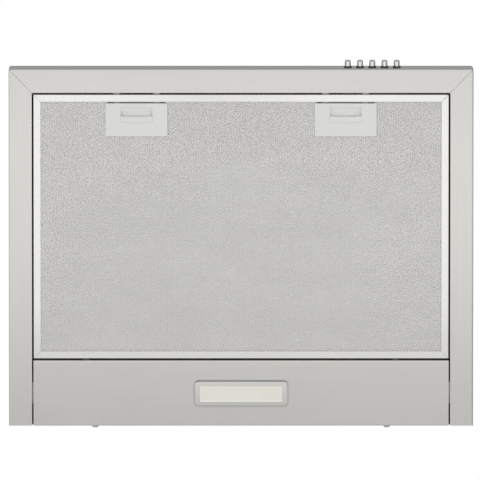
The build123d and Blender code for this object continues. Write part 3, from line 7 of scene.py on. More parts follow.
from __future__ import annotations
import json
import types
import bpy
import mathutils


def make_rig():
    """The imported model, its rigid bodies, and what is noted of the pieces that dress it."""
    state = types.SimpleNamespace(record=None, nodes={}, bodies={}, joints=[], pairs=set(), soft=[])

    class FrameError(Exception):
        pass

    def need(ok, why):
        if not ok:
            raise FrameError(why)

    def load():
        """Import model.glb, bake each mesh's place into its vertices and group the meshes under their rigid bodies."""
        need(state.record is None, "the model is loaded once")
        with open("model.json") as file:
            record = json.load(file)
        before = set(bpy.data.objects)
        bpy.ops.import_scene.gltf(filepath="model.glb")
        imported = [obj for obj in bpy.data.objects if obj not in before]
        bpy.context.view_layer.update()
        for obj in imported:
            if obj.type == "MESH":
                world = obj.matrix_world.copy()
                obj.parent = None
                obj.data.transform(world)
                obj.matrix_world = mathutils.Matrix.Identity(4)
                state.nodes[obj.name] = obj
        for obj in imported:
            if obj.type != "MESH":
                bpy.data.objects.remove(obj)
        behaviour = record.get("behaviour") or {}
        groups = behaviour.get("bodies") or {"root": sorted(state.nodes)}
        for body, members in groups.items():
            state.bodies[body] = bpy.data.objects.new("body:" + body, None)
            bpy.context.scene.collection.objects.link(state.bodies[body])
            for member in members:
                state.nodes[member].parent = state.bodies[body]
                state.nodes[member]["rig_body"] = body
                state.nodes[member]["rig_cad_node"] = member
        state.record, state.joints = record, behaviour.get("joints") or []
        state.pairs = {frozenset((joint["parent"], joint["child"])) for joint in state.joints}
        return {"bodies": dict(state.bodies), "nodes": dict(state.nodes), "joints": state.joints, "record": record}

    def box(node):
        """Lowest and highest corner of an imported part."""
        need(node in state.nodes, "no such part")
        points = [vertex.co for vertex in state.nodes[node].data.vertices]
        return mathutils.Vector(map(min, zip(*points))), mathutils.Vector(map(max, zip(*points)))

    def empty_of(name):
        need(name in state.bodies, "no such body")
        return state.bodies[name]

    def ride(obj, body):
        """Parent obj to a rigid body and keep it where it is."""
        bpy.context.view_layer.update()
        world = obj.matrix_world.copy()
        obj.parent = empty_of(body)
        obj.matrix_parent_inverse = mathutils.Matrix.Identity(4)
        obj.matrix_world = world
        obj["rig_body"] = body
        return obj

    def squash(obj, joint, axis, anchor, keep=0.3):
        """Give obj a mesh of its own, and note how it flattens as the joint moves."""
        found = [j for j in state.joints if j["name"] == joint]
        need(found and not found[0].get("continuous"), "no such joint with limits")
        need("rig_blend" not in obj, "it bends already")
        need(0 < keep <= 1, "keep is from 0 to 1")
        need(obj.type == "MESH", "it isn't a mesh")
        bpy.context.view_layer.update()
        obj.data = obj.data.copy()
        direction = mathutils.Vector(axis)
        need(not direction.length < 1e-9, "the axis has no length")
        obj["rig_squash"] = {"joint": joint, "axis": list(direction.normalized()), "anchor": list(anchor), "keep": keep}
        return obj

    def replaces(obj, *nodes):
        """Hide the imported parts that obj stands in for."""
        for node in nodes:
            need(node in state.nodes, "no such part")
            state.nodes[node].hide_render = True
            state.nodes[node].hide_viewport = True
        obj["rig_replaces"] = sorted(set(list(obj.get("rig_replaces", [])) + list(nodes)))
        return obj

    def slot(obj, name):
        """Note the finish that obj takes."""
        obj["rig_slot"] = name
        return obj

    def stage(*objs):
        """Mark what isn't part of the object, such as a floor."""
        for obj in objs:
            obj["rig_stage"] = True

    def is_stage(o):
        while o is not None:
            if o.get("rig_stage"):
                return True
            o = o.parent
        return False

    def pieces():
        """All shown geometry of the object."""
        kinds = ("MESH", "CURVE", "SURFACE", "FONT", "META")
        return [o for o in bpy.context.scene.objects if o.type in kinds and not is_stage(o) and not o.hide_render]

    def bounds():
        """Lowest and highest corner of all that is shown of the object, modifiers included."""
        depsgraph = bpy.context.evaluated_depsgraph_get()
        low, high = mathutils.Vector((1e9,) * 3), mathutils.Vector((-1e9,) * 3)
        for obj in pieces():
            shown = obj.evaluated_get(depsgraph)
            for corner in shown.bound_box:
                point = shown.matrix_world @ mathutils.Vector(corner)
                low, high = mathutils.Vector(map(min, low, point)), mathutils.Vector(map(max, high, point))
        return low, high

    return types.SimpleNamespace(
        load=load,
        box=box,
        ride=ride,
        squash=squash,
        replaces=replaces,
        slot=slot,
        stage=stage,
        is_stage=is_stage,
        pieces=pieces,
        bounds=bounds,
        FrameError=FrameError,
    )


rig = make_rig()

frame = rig.load()
cad_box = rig.bounds()

import json
import logging
import math
from dataclasses import dataclass, field, replace
from enum import Enum
from typing import Any, Sequence, Union

import bmesh
import bpy
from mathutils import Matrix, Vector

log = logging.getLogger("hood")

MM = 0.001
RIM = -0.205
MERGE = 1e-6
Colour = tuple[float, float, float]
Place = tuple[float, float, float]
Spots = Sequence[tuple[Vector, Vector]]


class Along(Enum):
    """Axis of a grain, a shaft or a screw, or one coordinate."""

    X = 0
    Y = 1
    Z = 2

    def spread(self, along: float, across: float) -> Place:
        """One number along this direction and another across it."""
        return tuple(along if i == self.value else across for i in range(3))


@dataclass(frozen=True)
class Wire:
    """One output of a node, whose arithmetic adds Math nodes."""

    sheet: Sheet
    socket: bpy.types.NodeSocket

    def sum(self, operation: str, *values: Value) -> Wire:
        """Add one Math node, with its inputs in order."""
        return self.sheet.add("ShaderNodeMath", dict(enumerate(values)), operation=operation)

    def __add__(self, other: Value) -> Wire:
        """Sum."""
        return self.sum("ADD", self, other)

    __radd__ = __add__

    def __mul__(self, other: Value) -> Wire:
        """Product."""
        return self.sum("MULTIPLY", self, other)

    __rmul__ = __mul__

    def __sub__(self, other: Value) -> Wire:
        """Difference."""
        return self.sum("SUBTRACT", self, other)

    def __rsub__(self, other: Value) -> Wire:
        """Difference from a number."""
        return self.sum("SUBTRACT", other, self)

    def __truediv__(self, other: Value) -> Wire:
        """Quotient."""
        return self.sum("DIVIDE", self, other)

    def __mod__(self, other: Value) -> Wire:
        """Remainder, never negative."""
        return self.sum("FLOORED_MODULO", self, other)

    def __gt__(self, other: Value) -> Wire:
        """One where this is larger, else nothing."""
        return self.sum("GREATER_THAN", self, other)

    def __lt__(self, other: Value) -> Wire:
        """One where this is smaller, else nothing."""
        return self.sum("LESS_THAN", self, other)

    def __abs__(self) -> Wire:
        """Size without sign."""
        return self.sum("ABSOLUTE", self)

    def __round__(self) -> Wire:
        """Nearest whole number."""
        return self.sum("ROUND", self)


Value = Union[Wire, list[Wire], float, int, Colour, bpy.types.ID]


@dataclass(frozen=True)
class Sheet:
    """A node tree being drawn, for a material or for geometry."""

    tree: bpy.types.NodeTree

    def put(self, kind: str, inputs: dict[Any, Value], **settings: Any) -> bpy.types.Node:
        """Add any node.

        Args:
            kind: The node's type.
            inputs: Values, wires or lists of wires, by the socket's name or number.
            settings: The node's settings, which are made first.

        Returns:
            The node.
        """
        node = self.tree.nodes.new(kind)
        for name, value in settings.items():
            setattr(node, name, value)
        for key, value in inputs.items():
            socket = node.inputs[key]
            if isinstance(value, (Wire, list)):
                for wire in value if isinstance(value, list) else [value]:
                    self.tree.links.new(wire.socket, socket)
            elif socket.type == "RGBA" and len(value) == 3:
                socket.default_value = (*value, 1.0)
            else:
                socket.default_value = value
        return node

    def add(self, kind: str, inputs: dict[Any, Value], out: Any = 0, **settings: Any) -> Wire:
        """Add any node and take one of its outputs, by name or number."""
        return Wire(self, self.put(kind, inputs, **settings).outputs[out])

    def blend(self, factor: Value, low: Value, high: Value) -> Wire:
        """Mix two colours, with the factor as the second one's share."""
        return self.add("ShaderNodeMix", {0: factor, 6: low, 7: high}, 2, data_type="RGBA")

    def places(self, stretch: Place = (1.0, 1.0, 1.0)) -> Wire:
        """Object coordinates with each axis stretched."""
        spots = self.add("ShaderNodeTexCoord", {}, "Object")
        return self.add("ShaderNodeMapping", {"Vector": spots, "Scale": stretch})

    def noise(self, scale: float, detail: float = 2.0, stretch: Place = (1.0, 1.0, 1.0)) -> Wire:
        """Soft noise of about 0.3 to 0.7 in waves per metre, on the object's own coordinates."""
        values = {"Vector": self.places(stretch), "Scale": scale, "Detail": detail}
        return self.add("ShaderNodeTexNoise", values, "Fac")

    def axis(self, along: Along) -> Wire:
        """One object coordinate, in metres."""
        return self.parts(self.places())[along.value]

    def parts(self, vector: Wire) -> list[Wire]:
        """The three numbers of a vector."""
        node = self.put("ShaderNodeSeparateXYZ", {0: vector})
        return [Wire(self, socket) for socket in node.outputs]

    def vector(self, x: Value = 0.0, y: Value = 0.0, z: Value = 0.0) -> Wire:
        """A vector of three numbers."""
        return self.add("ShaderNodeCombineXYZ", {0: x, 1: y, 2: z})

    def spot(self) -> Wire:
        """Place of the point that a geometry tree is working on."""
        return self.add("GeometryNodeInputPosition", {})

    def relief(self, height: Wire, depth: float, strength: float) -> Wire:
        """A normal from a height of 0 to 1, its real depth in metres and the share of it in use."""
        return self.add("ShaderNodeBump", {"Height": height, "Distance": depth, "Strength": strength})


@dataclass(frozen=True)
class Finish:
    """A surface finish: one material, drawn the first time that it is needed."""

    name: str
    slot: str
    tone: Colour
    roughness: float
    metallic: float = 0.0

    def draw(self, sheet: Sheet) -> dict[str, Value]:
        """Draw the pattern.

        Args:
            sheet: The material's tree.

        Returns:
            What varies, by the shader's socket.
        """
        raise NotImplementedError

    def constants(self) -> dict[str, Value]:
        """Values that are the same all over, by the shader's socket."""
        return {"Metallic": self.metallic}

    def material(self) -> bpy.types.Material:
        """Make the material, or find it if it is there."""
        made = bpy.data.materials.get(self.name)
        if made:
            return made
        made = bpy.data.materials.new(self.name)
        made.use_nodes = True
        made.node_tree.nodes.clear()
        sheet = Sheet(made.node_tree)
        surface = sheet.add("ShaderNodeBsdfPrincipled", {**self.constants(), **self.draw(sheet)})
        sheet.put("ShaderNodeOutputMaterial", {"Surface": surface})
        return made

    def shade(self, sheet: Sheet, amount: Wire, spread: float) -> Wire:
        """The finish's tone, darker by a share at an amount of 0 and lighter by it at 1."""
        return sheet.blend(amount, self.scaled(1 - spread), self.scaled(1 + spread))

    def rough(self, amount: Wire, less: float, more: float) -> Wire:
        """The finish's roughness, smoother at an amount of 0 and rougher at 1."""
        return amount * (less + more) + (self.roughness - less)

    def scaled(self, share: float) -> Colour:
        """The tone times a number."""
        return tuple(min(1.0, c * share) for c in self.tone)


@dataclass(frozen=True)
class BrushedSteel(Finish):
    """Stainless sheet with a fine brushed grain along one axis, and painted light along one fold, which its share makes
    a painted highlight above one and painted shade below one.
    """

    metallic: float = 1.0
    grain: Along = Along.X
    streaks: float = 0.1
    fold_axis: Along = Along.X
    fold_place: tuple[float, float] = (0.0, 0.0)
    fold_painted_light: float = 1.0

    def draw(self, sheet: Sheet) -> dict[str, Value]:
        """Hairlines, wider bands and slow clouds, then the painted light along the fold."""
        hair = sheet.noise(2600.0, 3.0, self.grain.spread(0.012, 1.0))
        band = sheet.noise(260.0, 2.0, self.grain.spread(0.03, 1.0))
        cloud = sheet.noise(9.0, 1.0)
        amount = hair * 0.55 + band * 0.3 + cloud * 0.15
        across = sheet.axis(self.fold_axis)
        fold = (across > self.fold_place[0]) * (across < self.fold_place[1])
        colour = self.shade(sheet, amount, self.streaks)
        return {
            # painted light: the fold's band takes the tone times its share, a painted highlight above one and painted
            # shade below one
            "Base Color": sheet.blend(fold, colour, self.scaled(self.fold_painted_light)),
            "Roughness": self.rough(hair * 0.7 + cloud * 0.3, 0.1, 0.1),
            "Normal": sheet.relief(hair, 0.00001, 0.35),
        }


@dataclass(frozen=True)
class SatinAluminium(Finish):
    """Drawn or rolled aluminium with a fine satin surface."""

    metallic: float = 1.0
    specks: float = 900.0

    def draw(self, sheet: Sheet) -> dict[str, Value]:
        """Fine specks and slow clouds."""
        fine = sheet.noise(self.specks)
        cloud = sheet.noise(14.0)
        return {
            "Base Color": self.shade(sheet, fine * 0.5 + cloud * 0.5, 0.05),
            "Roughness": self.rough(fine, 0.08, 0.08),
            "Normal": sheet.relief(fine, 0.00002, 0.25),
        }


@dataclass(frozen=True)
class FrameBar(SatinAluminium):
    """Filter bars with painted shade, darker towards the rear and a little at the front's middle, and a painted shadow
    line in the open mitre at the front's right.
    """

    painted_shade: float = 0.11
    shade_start: float = -163 * MM
    shade_full: float = -111 * MM
    front: float = -420 * MM
    patch: float = -39 * MM
    reach: float = 140 * MM
    joint: Place = (268.25 * MM, -434 * MM, 0.4 * MM)
    joint_share: float = 0.4

    def draw(self, sheet: Sheet) -> dict[str, Value]:
        """The satin, its painted shade by place, and the painted shadow line in the open mitre at the front's right."""
        drawn = super().draw(sheet)
        across, depth = sheet.axis(Along.X), sheet.axis(Along.Y)
        # painted shade: darker from y -163 mm towards the rear, and in a patch at the front's middle
        rear = (depth - self.shade_start) / (self.shade_full - self.shade_start)
        spot = (1.0 - abs(across - self.patch) / self.reach) * (depth < self.front)
        share = rear.sum("MAXIMUM", rear, spot)
        colour = sheet.blend(share, drawn["Base Color"], self.scaled(1 - self.painted_shade))
        # painted shade: a dark line along the open mitre at the front right corner
        corner_x, corner_y, half = self.joint
        mitre = (abs(corner_x - across - (depth - corner_y)) < half) * (depth < self.front)
        drawn["Base Color"] = sheet.blend(mitre, colour, self.scaled(self.joint_share))
        return drawn


@dataclass(frozen=True)
class WovenAluminium(Finish):
    """Expanded aluminium strands, or sheets of it seen as one surface."""

    metallic: float = 1.0
    cell: tuple[float, float] = (4.53 * MM, 3.16 * MM)
    half_opening: float = 0.36
    openings: float = 0.0
    shadow: Colour = (0.05, 0.05, 0.05)

    def draw(self, sheet: Sheet) -> dict[str, Value]:
        """Strand to strand change, slow waves and, on a sheet, rows of openings painted with dark shadow."""
        strand = sheet.noise(520.0, 1.0)
        wave = sheet.noise(22.0, 2.0, (0.5, 1.0, 1.0))
        colour = self.shade(sheet, strand * 0.7 + wave * 0.3, 0.16)
        if self.openings:
            # painted shadow: on a sheet, dark diamonds stand for the shade seen through the openings
            colour = sheet.blend(self._holes(sheet) * self.openings, colour, self.shadow)
        return {
            "Base Color": colour,
            "Roughness": self.rough(strand, 0.1, 0.1),
            "Normal": sheet.relief(strand, 0.0001, 0.3),
        }

    def _holes(self, sheet: Sheet) -> Wire:
        """One inside each diamond opening, else nothing."""
        u = sheet.axis(Along.X) / self.cell[0]
        v = sheet.axis(Along.Y) / self.cell[1]
        first = abs((u + v) % 1.0 - 0.5)
        second = abs((u - v) % 1.0 - 0.5)
        return (first < self.half_opening) * (second < self.half_opening)


@dataclass(frozen=True)
class Galvanised(Finish):
    """Zinc coated sheet with a spangle."""

    metallic: float = 1.0
    spangle: float = 95.0

    def draw(self, sheet: Sheet) -> dict[str, Value]:
        """Flat crystals that each shine a little differently."""
        values = {"Vector": sheet.places(), "Scale": self.spangle}
        crystal = sheet.add("ShaderNodeTexVoronoi", values, "Color")
        flake = sheet.add("ShaderNodeSeparateColor", {0: crystal}, 0)
        stain = sheet.noise(30.0, 3.0)
        return {
            "Base Color": self.shade(sheet, flake * 0.75 + stain * 0.25, 0.14),
            "Roughness": self.rough(flake, 0.08, 0.1),
            "Normal": sheet.relief(sheet.noise(700.0), 0.00002, 0.3),
        }


@dataclass(frozen=True)
class TurnedSteel(Finish):
    """Steel with fine rings round an axis."""

    metallic: float = 1.0
    axle: Along = Along.X

    def draw(self, sheet: Sheet) -> dict[str, Value]:
        """Rings that follow the place along the axle."""
        ring = sheet.noise(3000.0, 2.0, self.axle.spread(1.0, 0.02))
        return {
            "Base Color": self.shade(sheet, ring, 0.1),
            "Roughness": self.rough(ring, 0.08, 0.1),
            "Normal": sheet.relief(ring, 0.00001, 0.4),
        }


@dataclass(frozen=True)
class Plated(Finish):
    """Polished or zinc plated metal with a thin haze."""

    metallic: float = 1.0
    haze: float = 0.08

    def draw(self, sheet: Sheet) -> dict[str, Value]:
        """A soft haze over the polish."""
        smear = sheet.noise(160.0, 3.0)
        return {
            "Base Color": self.shade(sheet, smear, 0.08),
            "Roughness": self.rough(smear, 0.0, self.haze),
        }


@dataclass(frozen=True)
class Moulded(Finish):
    """Injection moulded plastic with a fine spark eroded texture."""

    texture: float = 2600.0
    depth: float = 0.00003

    def draw(self, sheet: Sheet) -> dict[str, Value]:
        """A fine even texture, slow flow marks and a little dust."""
        fine = sheet.noise(self.texture)
        flow = sheet.noise(35.0)
        return {
            "Base Color": self.shade(sheet, fine * 0.3 + flow * 0.7, 0.035),
            "Roughness": self.rough(fine * 0.5 + flow * 0.5, 0.07, 0.07),
            "Normal": sheet.relief(fine, self.depth, 0.35),
        }


@dataclass(frozen=True)
class LatchMoulding(Moulded):
    """Grey latch plastic, painted lighter in the finger pocket against its shade, with painted shade along the lip's
    edge.
    """

    plate: float = RIM + 1.8 * MM
    floor: float = RIM + 6.5 * MM
    corner: float = -406.9 * MM
    lip: float = RIM + 0.74 * MM
    lip_half: float = 0.2 * MM
    pale: float = 0.17
    lip_shade: float = 0.3

    def draw(self, sheet: Sheet) -> dict[str, Value]:
        """The moulding, painted lighter with the height inside the pocket, with painted shade on the lip's round edge.
        """
        drawn = super().draw(sheet)
        height = sheet.axis(Along.Z)
        # painted light: the pocket gets lighter with its height, taking out the shade in it
        inside = (height - self.plate) / (self.floor - self.plate) * (sheet.axis(Along.Y) < self.corner)
        painted_pocket_light = sheet.blend(inside, drawn["Base Color"], self.scaled(1 + self.pale))
        # painted shade: a dark line along the lip's round edge
        edge = abs(height - self.lip) < self.lip_half
        drawn["Base Color"] = sheet.blend(edge, painted_pocket_light, self.scaled(1 - self.lip_shade))
        return drawn


@dataclass(frozen=True)
class BezelMoulding(Moulded):
    """Lamp bezel with painted light, lighter at its front bevel and darker towards the rear, and painted shade in the
    groove round it, darkest at the front.
    """

    front: float = -59.1 * MM
    rear: float = -32.5 * MM
    groove: float = RIM + 0.5 * MM
    corner: float = -60.6 * MM
    painted_bevel_light: tuple[float, float] = (1.13, 0.9)
    dust_and_shade: tuple[float, float] = (0.86, 0.52)
    painted_light_share: float = 0.8

    def draw(self, sheet: Sheet) -> dict[str, Value]:
        """The moulding with painted light, lighter to the front and darker to the rear, and painted shade at the
        groove's bottom.
        """
        drawn = super().draw(sheet)
        depth = sheet.axis(Along.Y)
        across = (depth - self.front) / (self.rear - self.front)
        # painted light: lighter at the front bevel and darker at the rear, as if lit from the front
        bevel_lit = sheet.blend(across, *(self.scaled(share) for share in self.painted_bevel_light))
        # painted shade: the groove's bottom is darker, darkest along its front
        bottom = sheet.blend(depth < self.corner, *(self.scaled(share) for share in self.dust_and_shade))
        shown = sheet.blend(self.painted_light_share, drawn["Base Color"], bevel_lit)
        drawn["Base Color"] = sheet.blend(sheet.axis(Along.Z) > self.groove, shown, bottom)
        return drawn


@dataclass(frozen=True)
class LampCover(Finish):
    """Translucent moulded cover with a satin face, lit through a little, with a painted highlight along its rear edge.
    """

    glow: float = 0.25
    edge: float = -37.2 * MM
    highlight_share: float = 1.09

    def constants(self) -> dict[str, Value]:
        """Scattering under the surface."""
        return {
            "Subsurface Weight": self.glow,
            "Subsurface Radius": (1.0, 0.98, 0.9),
            "Subsurface Scale": 0.004,
            "Coat Weight": 0.2,
            "Coat Roughness": 0.25,
        }

    def draw(self, sheet: Sheet) -> dict[str, Value]:
        """Slow clouds, a fine frosting and a painted highlight along the rear edge."""
        cloud = sheet.noise(28.0)
        frost = sheet.noise(1800.0)
        face = self.shade(sheet, cloud * 0.8 + frost * 0.2, 0.03)
        return {
            # painted highlight: a lighter band along the face's rear edge
            "Base Color": sheet.blend(sheet.axis(Along.Y) > self.edge, face, self.scaled(self.highlight_share)),
            "Roughness": self.rough(frost, 0.06, 0.06),
            "Normal": sheet.relief(frost, 0.00002, 0.2),
        }


@dataclass(frozen=True)
class PaintedCan(Finish):
    """Dark paint on steel with a light orange peel."""

    def draw(self, sheet: Sheet) -> dict[str, Value]:
        """Orange peel and thin dust."""
        peel = sheet.noise(420.0, 1.0)
        dust_and_shade = sheet.noise(60.0, 4.0)
        return {
            "Base Color": self.shade(sheet, dust_and_shade, 0.15),
            "Roughness": self.rough(dust_and_shade, 0.08, 0.12),
            "Normal": sheet.relief(peel, 0.00008, 0.35),
        }


@dataclass(frozen=True)
class LightBoard(Finish):
    """White board whose chips, lower than its face, are yellow."""

    face: float = RIM + 19.8 * MM
    chip: Colour = (0.85, 0.68, 0.18)
    tracks: float = 160.0
    half_lane: float = 0.44

    def draw(self, sheet: Sheet) -> dict[str, Value]:
        """White lacquer with faint tracks, and yellow chips."""
        height = sheet.axis(Along.Z)
        lane = abs((sheet.axis(Along.Y) * self.tracks) % 1.0 - 0.5) > self.half_lane
        board = self.shade(sheet, lane, 0.06)
        return {
            "Base Color": sheet.blend(height < self.face, board, self.chip),
            "Roughness": self.rough(sheet.noise(300.0), 0.1, 0.1),
        }


class Finishes:
    """All the finishes of the hood, by the place where they are used."""

    steel_across = BrushedSteel("steel_grain_across", "canopy_steel", (0.55, 0.541, 0.528), 0.36)
    steel_deep = BrushedSteel("steel_grain_deep", "canopy_steel", (0.55, 0.543, 0.524), 0.36, grain=Along.Y)
    # painted shade: the right panel is darker past x 298.2 mm, along its outer fold edge
    steel_right = replace(steel_deep, name="steel_grain_right", fold_place=(298.2 * MM, 1.0), fold_painted_light=0.7)
    # painted highlight: the lamp panel is lighter along its front fold, from y -88.6 to -86.6 mm
    steel_rear = BrushedSteel(
        "steel_grain_rear", "canopy_steel", (0.552, 0.541, 0.522), 0.36,
        fold_axis=Along.Y, fold_place=(-88.6 * MM, -86.6 * MM), fold_painted_light=1.1,
    )
    steel_upright = BrushedSteel(
        "steel_grain_upright", "cover_steel", (0.55, 0.543, 0.528), 0.34, grain=Along.Z
    )
    zinc_sheet = Galvanised("zinc_sheet", "galvanised", (0.58, 0.60, 0.61), 0.42)
    zinc_bolt = Plated("zinc_bolt", "zinc_screw", (0.56, 0.57, 0.57), 0.28, haze=0.14)
    flush_bolt = BrushedSteel("flush_bolt", "zinc_screw", (0.55, 0.541, 0.528), 0.36)
    dark_bolt = Plated("dark_bolt", "dark_screw", (0.52, 0.52, 0.52), 0.34, haze=0.14)
    spring = Plated("spring_wire", "spring_steel", (0.55, 0.55, 0.55), 0.3, haze=0.12)
    chrome = Plated("polished_cap", "chrome_cap", (0.56, 0.56, 0.56), 0.10, haze=0.08)
    ground_x = TurnedSteel("ground_shaft", "shaft_steel", (0.60, 0.60, 0.61), 0.28)
    ground_y = replace(ground_x, name="ground_pin", axle=Along.Y)
    frame_bar = FrameBar("frame_bar", "aluminium_frame", (0.75, 0.745, 0.73), 0.42)
    # painted shade: the aluminium tabs are toned near black because they sit in the shaded rear gap
    tab = SatinAluminium("hinge_tab", "aluminium_frame", (0.12, 0.12, 0.12), 0.42)
    can = SatinAluminium("satin_can", "capacitor_can", (0.75, 0.75, 0.76), 0.32, specks=500.0)
    strands = WovenAluminium("mesh_strands", "aluminium_mesh", (0.83, 0.82, 0.805), 0.42)
    core = WovenAluminium("mesh_core", "aluminium_mesh", (0.81, 0.80, 0.785), 0.45, openings=0.3)
    grey = Moulded("grey_moulding", "grey_plastic", (0.73, 0.735, 0.716), 0.45)
    latch = LatchMoulding("latch_moulding", "grey_plastic", (0.73, 0.735, 0.716), 0.45)
    bezel = BezelMoulding("bezel_moulding", "grey_plastic", (0.62, 0.615, 0.60), 0.42)
    white = Moulded("white_moulding", "white_plastic", (0.83, 0.83, 0.81), 0.4)
    dark = Moulded("dark_moulding", "dark_plastic", (0.045, 0.046, 0.05), 0.5, texture=1500.0, depth=0.00005)
    black = Moulded("black_moulding", "black_plastic", (0.02, 0.02, 0.021), 0.3)
    sheath = Moulded("lead_sheath", "lead_grey", (0.42, 0.42, 0.43), 0.42, texture=900.0)
    rubber = Moulded("black_rubber", "rubber_black", (0.025, 0.025, 0.026), 0.75, texture=1400.0)
    lens = LampCover("lamp_cover", "lens_plastic", (0.80, 0.79, 0.72), 0.38)
    paint = PaintedCan("motor_paint", "motor_steel", (0.27, 0.28, 0.30), 0.38)
    board = LightBoard("light_board", "board_white", (0.86, 0.87, 0.85), 0.35)


@dataclass(frozen=True)
class Solid:
    """Lowest and highest corner of one separate solid of a node."""

    low: Vector
    high: Vector

    @property
    def middle(self) -> Vector:
        """Centre of the solid's box."""
        return (self.low + self.high) / 2

    @property
    def size(self) -> Vector:
        """Lengths of the solid's box."""
        return self.high - self.low


def solids_of(node: str) -> list[Solid]:
    """Find the separate solids of a node.

    Args:
        node: Name of the node.

    Returns:
        One box for each solid.
    """
    work = bmesh.new()
    work.from_mesh(frame["nodes"][node].data)
    bmesh.ops.remove_doubles(work, verts=work.verts, dist=MERGE)
    left = set(work.verts)
    found = []
    while left:
        group = [left.pop()]
        for vertex in group:
            near = left.intersection(edge.other_vert(vertex) for edge in vertex.link_edges)
            left -= near
            group += near
        low, high = (Vector(pick(v.co[i] for v in group) for i in range(3)) for pick in (min, max))
        found.append(Solid(low, high))
    work.free()
    return sorted(found, key=lambda s: tuple(round(v, 5) for v in s.middle))


class Recipe:
    """A Geometry Nodes tree with named inputs, which makes plain meshes."""

    def __init__(self, name: str, inputs: dict[str, list[str]]) -> None:
        """Start the tree.

        Args:
            name: Name of the tree.
            inputs: Names of its inputs by their kind, to which the finish is added.
        """
        self.tree = bpy.data.node_groups.new(name, "GeometryNodeTree")
        self.sheet = Sheet(self.tree)
        face = self.tree.interface
        face.new_socket("Geometry", in_out="INPUT", socket_type="NodeSocketGeometry")
        face.new_socket("Geometry", in_out="OUTPUT", socket_type="NodeSocketGeometry")
        for kind, labels in {**inputs, "Material": ["Finish"]}.items():
            for label in labels:
                face.new_socket(label, in_out="INPUT", socket_type="NodeSocket" + kind)
        self.given = self.tree.nodes.new("NodeGroupInput")

    def input(self, label: str) -> Wire:
        """One named input of the tree."""
        return Wire(self.sheet, self.given.outputs[label])

    def end(self, shape: Wire) -> None:
        """Finish the tree with its realised shape and its material."""
        whole = self.sheet.add("GeometryNodeRealizeInstances", {0: shape})
        values = {"Geometry": whole, "Material": self.input("Finish")}
        dressed = self.sheet.add("GeometryNodeSetMaterial", values)
        self.sheet.put("NodeGroupOutput", {0: dressed})

    def make(self, name: str, values: dict[str, Any], spots: Spots = ()) -> bpy.types.Object:
        """Run the tree once and keep its result as a plain mesh.

        Args:
            name: Name of the piece.
            values: The inputs' values, by name.
            spots: Points that the tree starts from, each with its direction.

        Returns:
            The piece, at the origin with its place in its mesh.
        """
        seeds = bpy.data.meshes.new(name + "_seeds")
        seeds.from_pydata([tuple(place) for place, _ in spots], [], [])
        facing = seeds.attributes.new("facing", "FLOAT_VECTOR", "POINT")
        facing.data.foreach_set("vector", [c for _, way in spots for c in way])
        piece = placed(name, seeds)
        modifier = piece.modifiers.new("recipe", "NODES")
        modifier.node_group = self.tree
        for item in self.tree.interface.items_tree:
            if item.item_type == "SOCKET" and item.in_out == "INPUT" and item.name in values:
                modifier[item.identifier] = values[item.name]
        drawn = piece.evaluated_get(bpy.context.evaluated_depsgraph_get())
        mesh = bpy.data.meshes.new_from_object(drawn)
        piece.modifiers.clear()
        piece.data = mesh
        mesh.name = name
        bpy.data.meshes.remove(seeds)
        return piece


def placed(name: str, data: bpy.types.ID) -> bpy.types.Object:
    """Put a mesh, a light or a camera in the scene.

    Args:
        name: Name of the object.
        data: The mesh, light or camera.

    Returns:
        The object, at the origin.
    """
    made = bpy.data.objects.new(name, data)
    bpy.context.scene.collection.objects.link(made)
    return made


def dress(finish: Finish, *nodes: str) -> None:
    """Give nodes of the frame their finish.

    Args:
        finish: The finish.
        nodes: Names of the nodes.
    """
    for node in nodes:
        materials = frame["nodes"][node].data.materials
        materials.clear()
        materials.append(finish.material())
        log.info("dressed %s with %s", node, finish.name)


def keep(piece: bpy.types.Object, body: str, slot: str, node: str) -> None:
    """Hang a finished piece on its body.

    Args:
        piece: The piece.
        body: Body that it moves with.
        slot: Material slot of the record.
        node: Node of the frame that it stands for.
    """
    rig.ride(piece, body)
    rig.slot(piece, slot)
    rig.replaces(piece, node)
    log.info("built %s on %s, %d faces", piece.name, body, len(piece.data.polygons))


